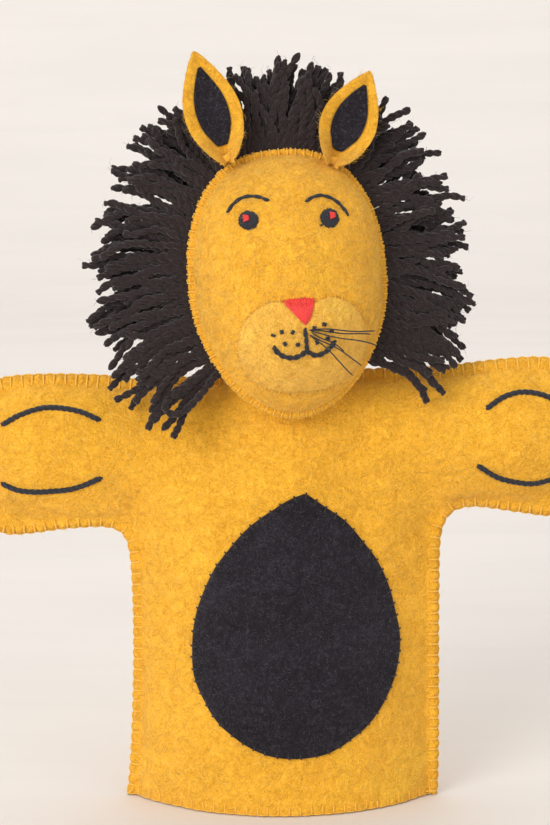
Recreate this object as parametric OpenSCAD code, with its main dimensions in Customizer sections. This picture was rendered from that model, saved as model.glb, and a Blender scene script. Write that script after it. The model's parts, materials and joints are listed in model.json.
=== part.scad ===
// Felt lion glove puppet.
// Millimetres, +Z up, the face looks along -Y. The origin is the bottom centre of the whole
// puppet's box, on the plane of the hem. Left is the -X side. Everything is drawn with the side
// seams in the plane y = 0, and is then put back by seam_y.

/* [Glove] */
// Width of the body at the waist
body_w = 111; // [96:1:128]
// Height of the shoulder line above the hem
shoulder_z = 158; // [140:1:176]
// Felt thickness of the glove
felt = 2.4; // [1.8:0.1:3]
// Half depth of the hand space at the hem
hem_half_d = 27; // [22:1:32]
// Half depth of the hand space at the neck
neck_half_d = 12.5; // [12:0.5:15]
// Width of the flat sewn margin
margin = 3.4; // [2.5:0.1:4.5]

/* [Arms] */
// Distance from the middle of the chest to a paw tip
arm_reach = 114; // [104:1:124]
// Height of an arm from seam to seam
arm_h = 56; // [48:1:60]
// Half depth of the finger space in an arm
arm_half_d = 11; // [9:0.5:13]
// Rise of the arm line towards the right, degrees
arm_lean = 2.1; // [0:0.1:4]
// Radius of the rounded armpit
armpit_r = 9; // [6:1:12]
// Radius of the corners of a paw
paw_r = 22; // [16:1:24]
// Swing of an arm forwards, degrees
swing_fwd = 60; // [30:5:60]
// Swing of an arm backwards, degrees
swing_back = 10; // [0:1:12]
// Lift of an arm up or down, degrees
lift = 15; // [5:1:15]

/* [Head] */
// Width of the head across its seam
head_w = 70; // [64:1:80]
// Height of the head across its seam
head_h = 94; // [88:1:104]
// Depth of the face in front of the seam
face_d = 25; // [20:1:28]
// Depth of the back of the head behind the seam
nape_d = 33; // [31:1:36]
// Felt thickness of the head
head_felt = 2; // [1.6:0.1:2.4]
// Sideways tilt of the head, degrees
head_tilt = 4.4; // [0:0.2:6]
// Turn of the face to the right, degrees
head_yaw = 7; // [0:1:9]
// Lean of the head backwards, degrees
head_lean = 4; // [2:1:6]

/* [Finger sleeve] */
// Bore of the finger sleeve
finger_d = 17.6; // [15:0.2:18.4]
// Wall of the finger sleeve
sleeve_wall = 1.8; // [1.2:0.1:2]
// Height of the finger space above the shoulder line
finger_rise = 45; // [32:1:48]

/* [Ears] */
// Length of an ear
ear_l = 40; // [32:1:46]
// Width of an ear
ear_w = 21; // [17:1:26]
// Felt thickness of an ear
ear_felt = 2; // [1.5:0.1:2.5]
// Thickness of the dark ear lining
lining_t = 1; // [0.8:0.1:1.4]

/* [Trimmings] */
// Width of the tummy patch
patch_w = 74; // [60:1:80]
// Height of the tummy patch
patch_h = 95; // [80:1:96]
// Thickness of the patches
patch_t = 1.4; // [1:0.1:2]
// Width of the muzzle patch
muzzle_w = 45; // [40:1:54]
// Height of the muzzle patch
muzzle_h = 34; // [28:1:38]
// Length of the mane beyond the head seam
mane_l = 31; // [24:1:34]
// Thickness of the sewing thread
thread = 0.9; // [0.6:0.1:1.2]
// Distance between blanket stitches
stitch_pitch = 4; // [3:0.2:5]

/* [Hidden] */
$fn = 64;

felt_color = [0.90, 0.62, 0.13];
dark_color = [0.13, 0.11, 0.13];
yarn_color = [0.15, 0.12, 0.12];
black_color = [0.08, 0.09, 0.11];
red_color = [0.86, 0.12, 0.10];
lint_color = [0.93, 0.91, 0.86];

gap = 0.3;                               // clearance between soft pieces that only touch
far = 200;                               // reaches past everything that it cuts
head_y = -21.5;                          // middle of the head's seam, in front of the side seams
seam_y = (face_d + head_felt + patch_t + 3.1 - head_y - hem_half_d - felt - 0.7) / 2;
waist = body_w / 2;
arm_z = shoulder_z - arm_h / 2 + 1.5;    // height of the arm line at the middle of the chest
arm_top = arm_h / 2;                     // upper edge of an arm above the arm line
lift_x = waist + 5;                      // where an arm lifts, along the arm line
swing_x = waist + 18;                    // where a paw folds forwards, along the arm line
swing_y = -8;

// ---------- glove ----------

// Front view of the body without its arms
module trunk_outline() {
    translate([-waist, 0]) square([body_w, arm_z]);
}

// Front view of the arm bar, about the middle of the chest
module arm_bar_outline() {
    square([2 * (arm_reach - paw_r), arm_h], center = true);
    square([2 * arm_reach, arm_h - 2 * paw_r], center = true);
    for (sx = [-1, 1], sz = [-1, 1])
        translate([sx * (arm_reach - paw_r), sz * (arm_h / 2 - paw_r)]) circle(paw_r);
}

// Rounded corner between the body and an arm, on the right side
module armpit_fillet() {
    corner_z = arm_z + (waist + armpit_r) * tan(arm_lean) * lean_sign() - arm_h / 2;
    difference() {
        translate([waist - 1, corner_z - armpit_r]) square([armpit_r + 1, armpit_r + 2]);
        translate([waist + armpit_r, corner_z - armpit_r]) circle(armpit_r);
    }
}

function lean_sign() = is_undef($mirrored) ? 1 : -1;

// Front view of the whole glove, drawn in x and z
module glove_outline() {
    trunk_outline();
    translate([0, arm_z]) rotate(arm_lean) arm_bar_outline();
    armpit_fillet();
    mirror([1, 0]) armpit_fillet($mirrored = true);
}

// Plan of two flat panels that are sewn at +-half_w and pushed half_d apart
module lens(half_w, half_d) {
    r = (half_w * half_w + half_d * half_d) / (2 * half_d);
    intersection() {
        translate([0, r - half_d]) circle(r, $fn = 96);
        translate([0, half_d - r]) circle(r, $fn = 96);
    }
}

// Hand space in the body, grown by a felt thickness for its outer face
module hand_space(grow) {
    hull() {
        for (level = [
            [-1, waist - margin + 1, hem_half_d],
            [shoulder_z - 38, waist - margin, neck_half_d + 4],
            [shoulder_z - 8, 27, neck_half_d + 0.5],
            [shoulder_z + 4, 22, neck_half_d]
        ])
            translate([0, 0, level[0]]) linear_extrude(0.01) lens(level[1] + grow, level[2] + grow);
    }
}

// Finger space in both arms, along the arm line
module finger_space(grow) {
    half_h = arm_h / 2 - margin;
    r = (half_h * half_h + arm_half_d * arm_half_d) / (2 * arm_half_d);
    for (sy = [-1, 1])
        intersection() {
            translate([0, -sy * (r - arm_half_d), arm_z]) lean() {
                rotate([0, 90, 0]) cylinder(r = r + grow, h = 2 * (arm_reach - margin - half_h), center = true);
                for (sx = [-1, 1])
                    translate([sx * (arm_reach - margin - half_h), 0, 0]) sphere(r + grow);
            }
            translate([-far, sy > 0 ? 0 : -far, -far]) cube([2 * far, far, 3 * far]);
        }
}

// Turns what is drawn along x onto the arm line
module lean() {
    rotate([0, -arm_lean, 0]) children();
}

// One side of the glove: side = -1 is the front and 1 is the back
module glove_panel(side) {
    difference() {
        intersection() {
            rotate([90, 0, 0]) translate([0, 0, side < 0 ? 0 : -far]) linear_extrude(far) glove_outline();
            union() {
                translate([-far, side < 0 ? -felt : 0, -1]) cube([2 * far, felt, far + 1]);
                hand_space(felt);
                finger_space(felt);
            }
        }
        hand_space(0);
        finger_space(0);
        neckline(side);
    }
}

scoop_r = 32;
scoop_h = 12.5;                            // depth of the scoop below the shoulder line
scoop_left = 2;                          // how far the scoop sits to the left of the chin

// Cut for the neck: deep under the chin, and level behind
module neckline(side) {
    if (side < 0)
        translate([chin_x - scoop_left, 0, shoulder_z - scoop_h + scoop_r]) rotate([90, 0, 0]) cylinder(r = scoop_r, h = far);
    translate([-22, side < 0 ? -far : -1, shoulder_z - 1]) cube([44, far + 1, far]);
}

// Plan of what lies beyond (out = 1) or before (out = -1) the fold where the right paw swings
module swing_plan(out) {
    x = swing_x + out * 0.3;
    fwd = swing_fwd / 2 + 0.5;
    aft = swing_back / 2 + 0.5;
    polygon([
        [x + out * far, -60],
        [x + out * (60 + swing_y) * tan(fwd), -60],
        [x, swing_y],
        [x + out * (60 - swing_y) * tan(aft), 60],
        [x + out * far, 60]
    ]);
}

// The body's part of what is drawn: a straight cut where each arm lifts
module body_part() {
    intersection() {
        children();
        translate([0, 0, arm_z]) lean() translate([-lift_x, -far, -far]) cube([2 * lift_x, 2 * far, 2 * far]);
    }
}

// The short piece of sleeve between the lifting cut and the swinging fold
module arm_part(sx) {
    reach = far / tan(lift + 0.5);
    intersection() {
        children();
        translate([0, 0, arm_z]) lean() mirror([sx < 0 ? 1 : 0, 0, 0]) intersection() {
            translate([lift_x + 0.3, far / 2, 0]) rotate([90, 0, 0]) linear_extrude(far)
                polygon([[0, 0], [far, reach], [far, -reach]]);
            translate([0, 0, -far]) linear_extrude(2 * far) swing_plan(-1);
        }
    }
}

// The paw's part of what is drawn, past the fold at one side
module paw_part(sx) {
    intersection() {
        children();
        translate([0, 0, arm_z]) lean() mirror([sx < 0 ? 1 : 0, 0, 0])
            translate([0, 0, -far]) linear_extrude(2 * far) swing_plan(1);
    }
}

module torso_front_panel() {
    color(felt_color) body_part() glove_panel(-1);
}

module torso_back_panel() {
    color(felt_color) body_part() glove_panel(1);
}

module arm_panel(sx, side) {
    color(felt_color) arm_part(sx) glove_panel(side);
}

module paw_panel(sx, side) {
    color(felt_color) paw_part(sx) glove_panel(side);
}

// ---------- blanket stitches ----------

// Thread that wraps a sewn edge of thickness t. The edge faces +x at the origin and lies in the plane y = 0
module wrap_stitch(t) {
    leg = margin - 0.4;
    translate([0, 0, -thread / 2]) linear_extrude(thread) polygon([
        [-leg, -t / 2], [-leg, -t / 2 - thread], [thread, -t / 2 - thread],
        [thread, t / 2 + thread], [-leg, t / 2 + thread], [-leg, t / 2],
        [0, t / 2], [0, -t / 2]
    ]);
}

// Stitches along a straight edge in the plane y = 0, from a to b in x and z, facing angle
module edge_stitches(a, b, angle, t) {
    n = max(1, floor(norm(b - a) / stitch_pitch));
    for (i = [0 : n])
        let (p = a + (b - a) * i / n)
            translate([p[0], 0, p[1]]) rotate([0, -angle, 0]) wrap_stitch(t);
}

module side_stitches(sx) {
    top = arm_z - arm_h / 2 - armpit_r + sx * waist * tan(arm_lean) - 3;
    color(felt_color)
        edge_stitches([sx * waist, 7], [sx * waist, top], sx > 0 ? 0 : 180, 2 * felt);
}

module shoulder_stitches(sx) {
    color(felt_color) translate([0, 0, arm_z]) lean()
        edge_stitches([sx * 28, arm_top], [sx * (lift_x - 2), arm_top], 90, 2 * felt);
}

// One stitch at the top and one at the bottom of the short piece of sleeve
module arm_stitches(sx) {
    x = sx * (lift_x + swing_x + arm_top * tan(lift)) / 2;
    color(felt_color) translate([0, 0, arm_z]) lean()
        for (sz = [-1, 1])
            translate([x, 0, sz * arm_top]) rotate([0, -sz * 90, 0]) wrap_stitch(2 * felt);
}

module paw_stitches(sx) {
    start = swing_x + 4;
    corner_x = arm_reach - paw_r;
    turns = floor(paw_r * PI / 2 / stitch_pitch);
    color(felt_color) translate([0, 0, arm_z]) lean() mirror([sx < 0 ? 1 : 0, 0, 0]) {
        edge_stitches([start, arm_top], [max(start, corner_x - 2), arm_top], 90, 2 * felt);
        edge_stitches([start, -arm_top], [max(start, corner_x - 2), -arm_top], -90, 2 * felt);
        edge_stitches([arm_reach, paw_r - arm_top + 2], [arm_reach, arm_top - paw_r - 2], 0, 2 * felt);
        for (sz = [-1, 1], i = [0.5 : turns - 0.5])
            translate([corner_x, 0, sz * (arm_top - paw_r)]) rotate([0, -sz * 90 * i / turns, 0])
                translate([paw_r, 0, 0]) wrap_stitch(2 * felt);
    }
}

// Hem stitches: each goes through the felt and runs down both faces to the edge
module hem_stitches(side) {
    half_w = waist - margin + 1;
    r = (half_w * half_w + hem_half_d * hem_half_d) / (2 * hem_half_d);
    mid_r = r + felt / 2;
    half_angle = asin(half_w / r);
    n = floor(2 * half_angle * PI / 180 * mid_r / stitch_pitch);
    color(felt_color)
        for (i = [1 : n - 1])
            let (a = -half_angle + 2 * half_angle * i / n)
                translate([mid_r * sin(a), side * (mid_r * cos(a) - r + hem_half_d), 0]) rotate([0, 0, side * -a])
                    difference() {
                        translate([-thread / 2, -felt / 2 - 0.7, 0]) cube([thread, felt + 1.4, margin + 0.6]);
                        translate([-thread, -felt / 2, -1]) cube([2 * thread, felt, margin + 0.7]);
                    }
}

// ---------- tummy patch ----------

// Height of the widest place of the pointed oval, and radius of its two upper sides
drop_round_h = patch_w / 2;
drop_r = (pow(patch_w / 2, 2) + pow(patch_h - drop_round_h, 2)) / patch_w;

// Pointed oval, with its point at the top and the origin at its lowest point
module drop_outline() {
    intersection() {
        translate([patch_w / 2 - drop_r, drop_round_h]) circle(drop_r);
        translate([drop_r - patch_w / 2, drop_round_h]) circle(drop_r);
        translate([-patch_w / 2, drop_round_h]) square([patch_w, patch_h]);
    }
    intersection() {
        translate([0, drop_round_h]) circle(patch_w / 2, $fn = 96);
        translate([-patch_w / 2, 0]) square([patch_w, drop_round_h + 0.01]);
    }
}

patch_z = 21.6;                          // height of the patch's lowest point
patch_x = 3;
patch_lean = 2.5;                        // the point leans to the right

module tummy_patch() {
    color(dark_color) difference() {
        intersection() {
            translate([patch_x, 0, patch_z]) rotate([0, patch_lean, 0]) rotate([90, 0, 0])
                linear_extrude(far) drop_outline();
            hand_space(felt + patch_t);
        }
        hand_space(felt);
    }
}

// A point of the patch's outline in direction a, and the way that the outline faces there
function drop_point(a) = a > 180
    ? [patch_w / 2 * cos(a), drop_round_h * (1 + sin(a)), atan2(patch_w / 2 * sin(a), drop_round_h * cos(a))]
    : let (
        s = a < 90 ? 1 : -1,
        t = asin((patch_h - drop_round_h) / drop_r) * (90 - abs(90 - a)) / 90
    ) [s * (drop_r * cos(t) - drop_r + patch_w / 2), drop_round_h + drop_r * sin(t), s > 0 ? t : 180 - t];

// Depth of the chest's outer face, in front of y = 0, at x and z
function chest_d(x, z) =
    let (
        d = hem_half_d + (neck_half_d + 4 - hem_half_d) * (z + 1) / (shoulder_z - 37),
        w = waist - margin + 1 - (z + 1) / (shoulder_z - 37),
        r = (w * w + d * d) / (2 * d)
    ) sqrt(pow(r + felt, 2) - x * x) - r + d;

// Small whip stitches over the edge of the patch
module tummy_patch_stitches() {
    n = 52;
    color(dark_color)
        for (i = [0 : n - 1])
            let (
                p = drop_point(360 * (i + 0.5) / n),
                out = [cos(p[2]), sin(p[2])],
                a = patch_spot([p[0], p[1]] - 1.2 * out),
                b = patch_spot([p[0], p[1]] + 1.7 * out)
            ) tube([[a[0], -chest_d(a[0], a[1]) - patch_t, a[1]], [b[0], -chest_d(b[0], b[1]), b[1]]],
                thread / 2, 4);
}

// Where a point of the flat patch lies in x and z
function patch_spot(p) = [
    patch_x + p[0] * cos(patch_lean) + p[1] * sin(patch_lean),
    patch_z + p[1] * cos(patch_lean) - p[0] * sin(patch_lean)];

// ---------- soft tubes ----------

// Ring of sides points round p, square to direction d
function ring(p, d, r, sides) =
    let (
        n = d / norm(d),
        u0 = abs(n[1]) < 0.9 ? cross(n, [0, 1, 0]) : cross(n, [1, 0, 0]),
        u = u0 / norm(u0),
        v = cross(n, u)
    ) [for (k = [0 : sides - 1]) p + r * (cos(360 * k / sides) * u + sin(360 * k / sides) * v)];

// A thread or hair swept along the points in path
module tube(path, r, sides = 6) {
    n = len(path);
    points = [for (i = [0 : n - 1])
        each ring(path[i], path[min(n - 1, i + 1)] - path[max(0, i - 1)], r, sides)];
    walls = [for (i = [0 : n - 2], k = [0 : sides - 1])
        let (a = i * sides + k, b = i * sides + (k + 1) % sides)
            each [[a, a + sides, b], [b, a + sides, b + sides]]];
    polyhedron(points, concat([[for (k = [0 : sides - 1]) k]], walls,
        [[for (k = [0 : sides - 1]) n * sides - 1 - k]]), convexity = 4);
}

// ---------- toe lines ----------

toe_start = swing_x + 6;
toe_end = arm_reach - 10;
toe_gap = 20;                            // between the two lines at their ends
toe_bow = 5.5;                           // how far each line bows outwards

// Front of an arm at x along the arm line and dz above it
function arm_face_y(x, dz) =
    let (
        half_h = arm_h / 2 - margin,
        r = (half_h * half_h + arm_half_d * arm_half_d) / (2 * arm_half_d),
        away = norm([max(0, x - (arm_reach - margin - half_h)), dz])
    ) -(sqrt((r + felt) * (r + felt) - away * away) - (r - arm_half_d));

module toe_lines(sx) {
    color(black_color) translate([0, 0, arm_z]) lean() mirror([sx < 0 ? 1 : 0, 0, 0])
        for (sz = [-1, 1])
            tube([for (i = [0 : 9])
                let (
                    u = i / 9,
                    x = toe_start + (toe_end - toe_start) * u,
                    dz = sz * (toe_gap / 2 + toe_bow * 4 * u * (1 - u))
                ) [x, arm_face_y(x, dz) - 0.3, dz]], 0.8);
}

// ---------- head ----------

head_x = 2;
head_z = shoulder_z - 14 + head_h / 2;   // the chin hangs a little below the shoulders
chin_x = head_x + head_h / 2 * sin(head_tilt);
chin_y = head_y - head_h / 2 * sin(head_lean);
chin_z = head_z - head_h / 2 * cos(head_tilt);
head_margin = 2.6;
kx = head_w / 70;                        // places on the face keep their share of its width
kz = head_h / 94;                        // and of its height

// Puts what is drawn about the middle of the head's seam where the head is
module head_frame() {
    translate([head_x, head_y, head_z]) rotate([0, -head_tilt, 0]) rotate([-head_lean, 0, 0])
        rotate([0, 0, head_yaw]) children();
}

// The seam is fuller above than below: exponents of its two halves
brow_power = 2.4;
chin_power = 1.85;

// Half width of the seam at height v, from -1 at the chin to 1 at the top
function seam_half_w(v) =
    let (p = v > 0 ? brow_power : chin_power) pow(max(0, 1 - pow(abs(v), p)), 1 / p);

// Point of the seam in direction a from the middle, where 90 is the top
function seam_point(a, inset = 0) =
    let (
        p = sin(a) > 0 ? brow_power : chin_power,
        k = pow(pow(abs(cos(a)), p) + pow(abs(sin(a)), p), -1 / p)
    ) [(head_w / 2 - inset) * k * cos(a), (head_h / 2 - inset) * k * sin(a)];

// Outward direction of the seam in direction a
function seam_facing(a) =
    let (d = seam_point(a + 1) - seam_point(a - 1)) atan2(-d[0], d[1]);

// Share of the full depth at a share rho of the way to the seam
function dome(rho) = pow(max(0, 1 - rho * rho), 0.62);

rho_steps = [0.18, 0.36, 0.52, 0.66, 0.78, 0.87, 0.94, 0.98, 1];
head_spokes = 40;

// Points of a domed face of depth d behind (side 1) or before (side -1) the seam
function dome_points(side, d, inset, lift) = concat(
    [[0, side * (d + lift), 0]],
    [for (rho = rho_steps, k = [0 : head_spokes - 1])
        let (s = seam_point(360 * k / head_spokes, inset))
            [s[0] * rho, side * (d * dome(rho) + lift), s[1] * rho]]
);

// Triangles over dome_points, from its middle point at index base
function dome_faces(base, flip) = concat(
    [for (k = [0 : head_spokes - 1])
        let (a = base + 1 + k, b = base + 1 + (k + 1) % head_spokes)
            flip ? [base, a, b] : [base, b, a]],
    [for (i = [0 : len(rho_steps) - 2], k = [0 : head_spokes - 1])
        let (
            a = base + 1 + i * head_spokes + k,
            b = base + 1 + i * head_spokes + (k + 1) % head_spokes
        ) each (flip
            ? [[a, a + head_spokes, b], [b, a + head_spokes, b + head_spokes]]
            : [[a, b, a + head_spokes], [b, b + head_spokes, a + head_spokes]])]
);

// Domed felt panel with a flat sewn margin
module head_panel(side, d) {
    rim = len(rho_steps) * head_spokes - head_spokes + 1;
    n = len(rho_steps) * head_spokes + 1;
    outer = dome_points(side, d, head_margin, head_felt);
    inner = dome_points(side, d, head_margin, 0);
    edge = [for (y = [side * head_felt, 0], k = [0 : head_spokes - 1])
        let (s = seam_point(360 * k / head_spokes)) [s[0], y, s[1]]];
    flip = side > 0;
    // Wall between two rings of points that start at a and b
    function band(a, b) = [for (k = [0 : head_spokes - 1])
        let (j = (k + 1) % head_spokes)
            each (flip
                ? [[a + k, b + k, a + j], [a + j, b + k, b + j]]
                : [[a + k, a + j, b + k], [a + j, b + j, b + k]])];
    polyhedron(
        concat(outer, inner, edge),
        concat(dome_faces(0, flip), dome_faces(n, !flip),
            band(rim, 2 * n), band(2 * n, 2 * n + head_spokes), band(2 * n + head_spokes, n + rim)),
        convexity = 6);
}

module face_panel() {
    color(felt_color) head_frame() head_panel(-1, face_d);
}

module nape_panel() {
    color(felt_color) difference() {
        head_frame() head_panel(1, nape_d);
        sleeve_space();
        tongue_space();
    }
}

// Solid wool fill between the two panels, with a hole for the sleeve
module head_stuffing() {
    slack = 0.15;
    n = len(rho_steps) * head_spokes + 1;
    front = dome_points(-1, face_d - slack, head_margin + slack, 0);
    back = dome_points(1, nape_d - slack, head_margin + slack, 0);
    shared = n - head_spokes;
    color(lint_color) difference() {
        head_frame() polyhedron(
            concat(front, back),
            concat(dome_faces(0, false), [for (f = dome_faces(n, true))
                [for (i = f) i >= n + shared ? i - n : i]]),
            convexity = 6);
        sleeve_space();
        tongue_space();
    }
}

sleeve_y = -1;
finger_top_z = shoulder_z + finger_rise;
sleeve_bottom_z = shoulder_z - 1;
sleeve_r = finger_d / 2 + sleeve_wall;

// Room that the sleeve takes in the head
module sleeve_space() {
    translate([0, sleeve_y, sleeve_bottom_z - 20])
        cylinder(r = sleeve_r + 0.1, h = finger_top_z - sleeve_bottom_z + 20 + sleeve_wall + 0.1);
}

tongue_reach = 15;                       // from the chin back to the collar, with clearance

// Room in the back of the head round the tongue that holds the chin, as the head nods about it
module tongue_space() {
    translate([chin_x - tongue_w / 2 - 1.4, tack_y, tack_z]) rotate([0, 90, 0])
        cylinder(r = tongue_reach, h = tongue_w + 2.8);
}

module finger_sleeve() {
    color(felt_color) translate([0, sleeve_y, sleeve_bottom_z]) difference() {
        cylinder(r = sleeve_r, h = finger_top_z - sleeve_bottom_z);
        translate([0, 0, -1]) cylinder(r = finger_d / 2, h = finger_top_z - sleeve_bottom_z + 2);
    }
}

module sleeve_cap() {
    color(felt_color) translate([0, sleeve_y, finger_top_z]) cylinder(r = sleeve_r, h = sleeve_wall);
}

// Felt collar inside the neckline, with a tongue that reaches out over the scoop to the chin
collar_z = shoulder_z - 23;
collar_h = 8;
collar_r = neck_half_d - 0.6;
tongue_w = 5;
tack_y = chin_y + 3.6;
tack_z = chin_z + 2.6;

module neck_collar() {
    bridge_z = shoulder_z - 7;
    bridge_y = 1 - collar_r;
    color(felt_color) {
        translate([0, sleeve_y, collar_z]) difference() {
            cylinder(r = collar_r, h = collar_h);
            translate([0, 0, -1]) cylinder(r = collar_r - 1.4, h = collar_h + 2);
        }
        intersection() {
            translate([0, sleeve_y, collar_z]) difference() {
                cylinder(r = collar_r, h = bridge_z + 1.4 - collar_z);
                translate([0, 0, -1]) cylinder(r = collar_r - 1.4, h = far);
            }
            translate([chin_x - tongue_w / 2, -far, collar_z]) cube([tongue_w, far, far]);
        }
        translate([chin_x - tongue_w / 2, tack_y, bridge_z]) cube([tongue_w, bridge_y - tack_y, 1.4]);
        translate([chin_x - tongue_w / 2, tack_y, tack_z - 0.4]) cube([tongue_w, 1.2, bridge_z - tack_z + 1.4]);
    }
}

// Bar of thread that holds the chin to the tongue, along the nodding axis
module chin_tack() {
    color(felt_color) translate([chin_x - tongue_w / 2 - 1, tack_y - thread / 2 - 0.02, tack_z])
        rotate([0, 90, 0]) cylinder(r = thread / 2, h = tongue_w + 2);
}

module head_seam_stitches() {
    n = 60;
    color(felt_color) head_frame()
        for (i = [0 : n - 1])
            let (a = 360 * (i + 0.5) / n, p = seam_point(a))
                translate([p[0], 0, p[1]]) rotate([0, -seam_facing(a), 0]) short_wrap_stitch();
}

module short_wrap_stitch() {
    leg = head_margin - 1;
    t = 2 * head_felt;
    translate([0, 0, -thread / 2]) linear_extrude(thread) polygon([
        [-leg, -t / 2 - 0.02], [-leg, -t / 2 - thread], [thread, -t / 2 - thread],
        [thread, t / 2 + thread], [-leg, t / 2 + thread], [-leg, t / 2 + 0.02],
        [0.3, t / 2 + 0.02], [0.3, -t / 2 - 0.02]
    ]);
}

// ---------- face ----------

// Front of the face at x and z from the middle of the head
function face_y(x, z) =
    let (
        a = atan2(z / (head_h / 2), x / (head_w / 2)),
        s = seam_point(abs(x) + abs(z) < 0.01 ? 0 : atan2(z, x), head_margin),
        rho = norm([x, z]) / max(0.01, norm(s))
    ) -(face_d * dome(rho) + head_felt);

muzzle_x = 1.6 * kx;                     // middle of the muzzle from the middle of the head
muzzle_z = -20 * kz;

// Muzzle outline: a wide oval with a dip under the nose
function muzzle_point(a) =
    let (dip = 3.5 * exp(-pow((a - 90) / 16, 2)))
        [muzzle_x + muzzle_w / 2 * pow(abs(cos(a)), 0.85) * sign(cos(a)),
         muzzle_z + (muzzle_h / 2 - dip) * pow(abs(sin(a)), 0.9) * sign(sin(a))];

muzzle_spokes = 28;

// Felt patch laid on the face
module muzzle_patch() {
    shares = [0.34, 0.67, 0.9, 1];
    puff = 1.6;
    n = 1 + len(shares) * muzzle_spokes;
    function layer(lift) = concat(
        [[muzzle_x, face_y(muzzle_x, muzzle_z) - lift - puff, muzzle_z]],
        [for (s = shares, k = [0 : muzzle_spokes - 1])
            let (
                m = muzzle_point(360 * k / muzzle_spokes),
                x = muzzle_x + (m[0] - muzzle_x) * s,
                z = muzzle_z + (m[1] - muzzle_z) * s
            )
                [x, face_y(x, z) - lift - puff * (1 - s * s), z]]);
    function sheet(base, flip) = concat(
        [for (k = [0 : muzzle_spokes - 1])
            let (a = base + 1 + k, b = base + 1 + (k + 1) % muzzle_spokes)
                flip ? [base, b, a] : [base, a, b]],
        [for (i = [0 : len(shares) - 2], k = [0 : muzzle_spokes - 1])
            let (
                a = base + 1 + i * muzzle_spokes + k,
                b = base + 1 + i * muzzle_spokes + (k + 1) % muzzle_spokes
            ) each (flip
                ? [[a, b, a + muzzle_spokes], [b, b + muzzle_spokes, a + muzzle_spokes]]
                : [[a, a + muzzle_spokes, b], [b, a + muzzle_spokes, b + muzzle_spokes]])]);
    rim = 1 + (len(shares) - 1) * muzzle_spokes;
    color(felt_color) head_frame() polyhedron(
        concat(layer(patch_t + 0.1), layer(0.1)),
        concat(sheet(0, true), sheet(n, false), [for (k = [0 : muzzle_spokes - 1])
            let (j = (k + 1) % muzzle_spokes)
                each [[rim + k, rim + j, n + rim + k], [rim + j, n + rim + j, n + rim + k]]]),
        convexity = 6);
}

module muzzle_stitches() {
    n = 40;
    color(felt_color) head_frame()
        for (i = [0 : n - 1])
            let (
                a = 360 * (i + 0.5) / n,
                m = muzzle_point(a),
                c = [muzzle_x, muzzle_z],
                d = (m - c) / norm(m - c),
                p = m + d * 0.7,
                q = m + d * 2.4
            ) tube([[p[0], face_y(p[0], p[1]) - 0.5, p[1]], [q[0], face_y(q[0], q[1]) - 0.2, q[1]]],
                thread / 2, 4);
}

// Front of the muzzle patch at x and z
function muzzle_y(x, z) = face_y(x, z) - patch_t - 0.1
    - 1.6 * (1 - pow(min(1, norm([x - muzzle_x, z - muzzle_z]) / (muzzle_w / 2)), 2));

// A thread laid on the muzzle (on = 1) or the face (on = 0), through points in x and z
module face_thread(path, r, on, lift = 0.35) {
    tube([for (p = path) [p[0], (on > 0 ? muzzle_y(p[0], p[1]) : face_y(p[0], p[1])) - lift, p[1]]], r);
}

// Point of an arc from a to b that bows upwards by bow
function bowed(a, b, bow, u) = a + (b - a) * u + [0, 4 * bow * u * (1 - u)];

module nose() {
    top_z = muzzle_z + muzzle_h / 2 - 2;
    color(red_color) head_frame() hull() {
        for (p = [[-5.4, top_z], [5, top_z + 0.4], [1.4, top_z - 8], [4, top_z - 3.5]])
            translate([p[0], muzzle_y(p[0], p[1]) - 0.1, p[1]]) rotate([90, 0, 0]) cylinder(r = 0.7, h = 0.9, $fn = 16);
    }
}

mouth_z = muzzle_z - 2.5;

module mouth() {
    color(black_color) head_frame() {
        face_thread([for (i = [0 : 4]) [1.2 + 0.1 * i, mouth_z + 7.9 - 1.9 * i]], 0.75, 1);
        face_thread([for (i = [0 : 6]) bowed([-9.4, mouth_z + 2.6], [0.5, mouth_z], -3, i / 6)], 0.8, 1);
        face_thread([for (i = [0 : 6]) bowed([2.3, mouth_z], [11.6, mouth_z + 2.8], -3, i / 6)], 0.8, 1);
    }
}

module whisker_dots() {
    spots = [[-9.6, 6.6], [-6.7, 7.6], [-3, 7.2], [-5.8, 3.4], [-1.4, 2.8], [4.4, 8], [8, 9], [10.4, 6.4],
        [9, 4], [5.2, 3]];
    color(black_color) head_frame()
        for (p = spots)
            translate([p[0], muzzle_y(p[0], mouth_z + p[1]) - 0.2, mouth_z + p[1]]) sphere(0.75, $fn = 16);
}

module whiskers() {
    ends = [[25, 5.2, 6], [23.6, 4, 5], [25, 0.4, 7], [14, -0.5, 4], [19.6, -5.6, 5], [16.4, -9, 5]];
    color(black_color) head_frame()
        for (e = ends)
            let (start = [2.6, mouth_z + 7])
                tube([for (i = [0 : 5])
                    let (u = i / 5, x = start[0] + (e[0] - start[0]) * u,
                        z = start[1] + (mouth_z + e[1] - start[1]) * u + 1.5 * u * (1 - u))
                        [x, muzzle_y(start[0], start[1]) - 1.2 - e[2] * u * (1 - u / 2), z]], 0.25, 4);
}

eye_r = 3;
eye_spots = [[-14.2 * kx, 23.4 * kz], [13.6 * kx, 22 * kz]];    // x and z of the left and the right eye
glint_spots = [[-0.8, 0.8], [0.9, 0.8]];

function eye_spot(sx) = sx < 0 ? eye_spots[0] : eye_spots[1];
function eye_slope_x(p) = -atan((face_y(p[0] + 1, p[1]) - face_y(p[0] - 1, p[1])) / 2);
function eye_slope_z(p) = atan((face_y(p[0], p[1] + 1) - face_y(p[0], p[1] - 1)) / 2);

// Puts what is drawn on the felt where an eye is, with +z pointing out of the face
module eye_frame(sx) {
    p = eye_spot(sx);
    head_frame() translate([p[0], face_y(p[0], p[1]), p[1]])
        rotate([-eye_slope_z(p), 0, -eye_slope_x(p)]) rotate([90, 0, 0]) children();
}

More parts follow.
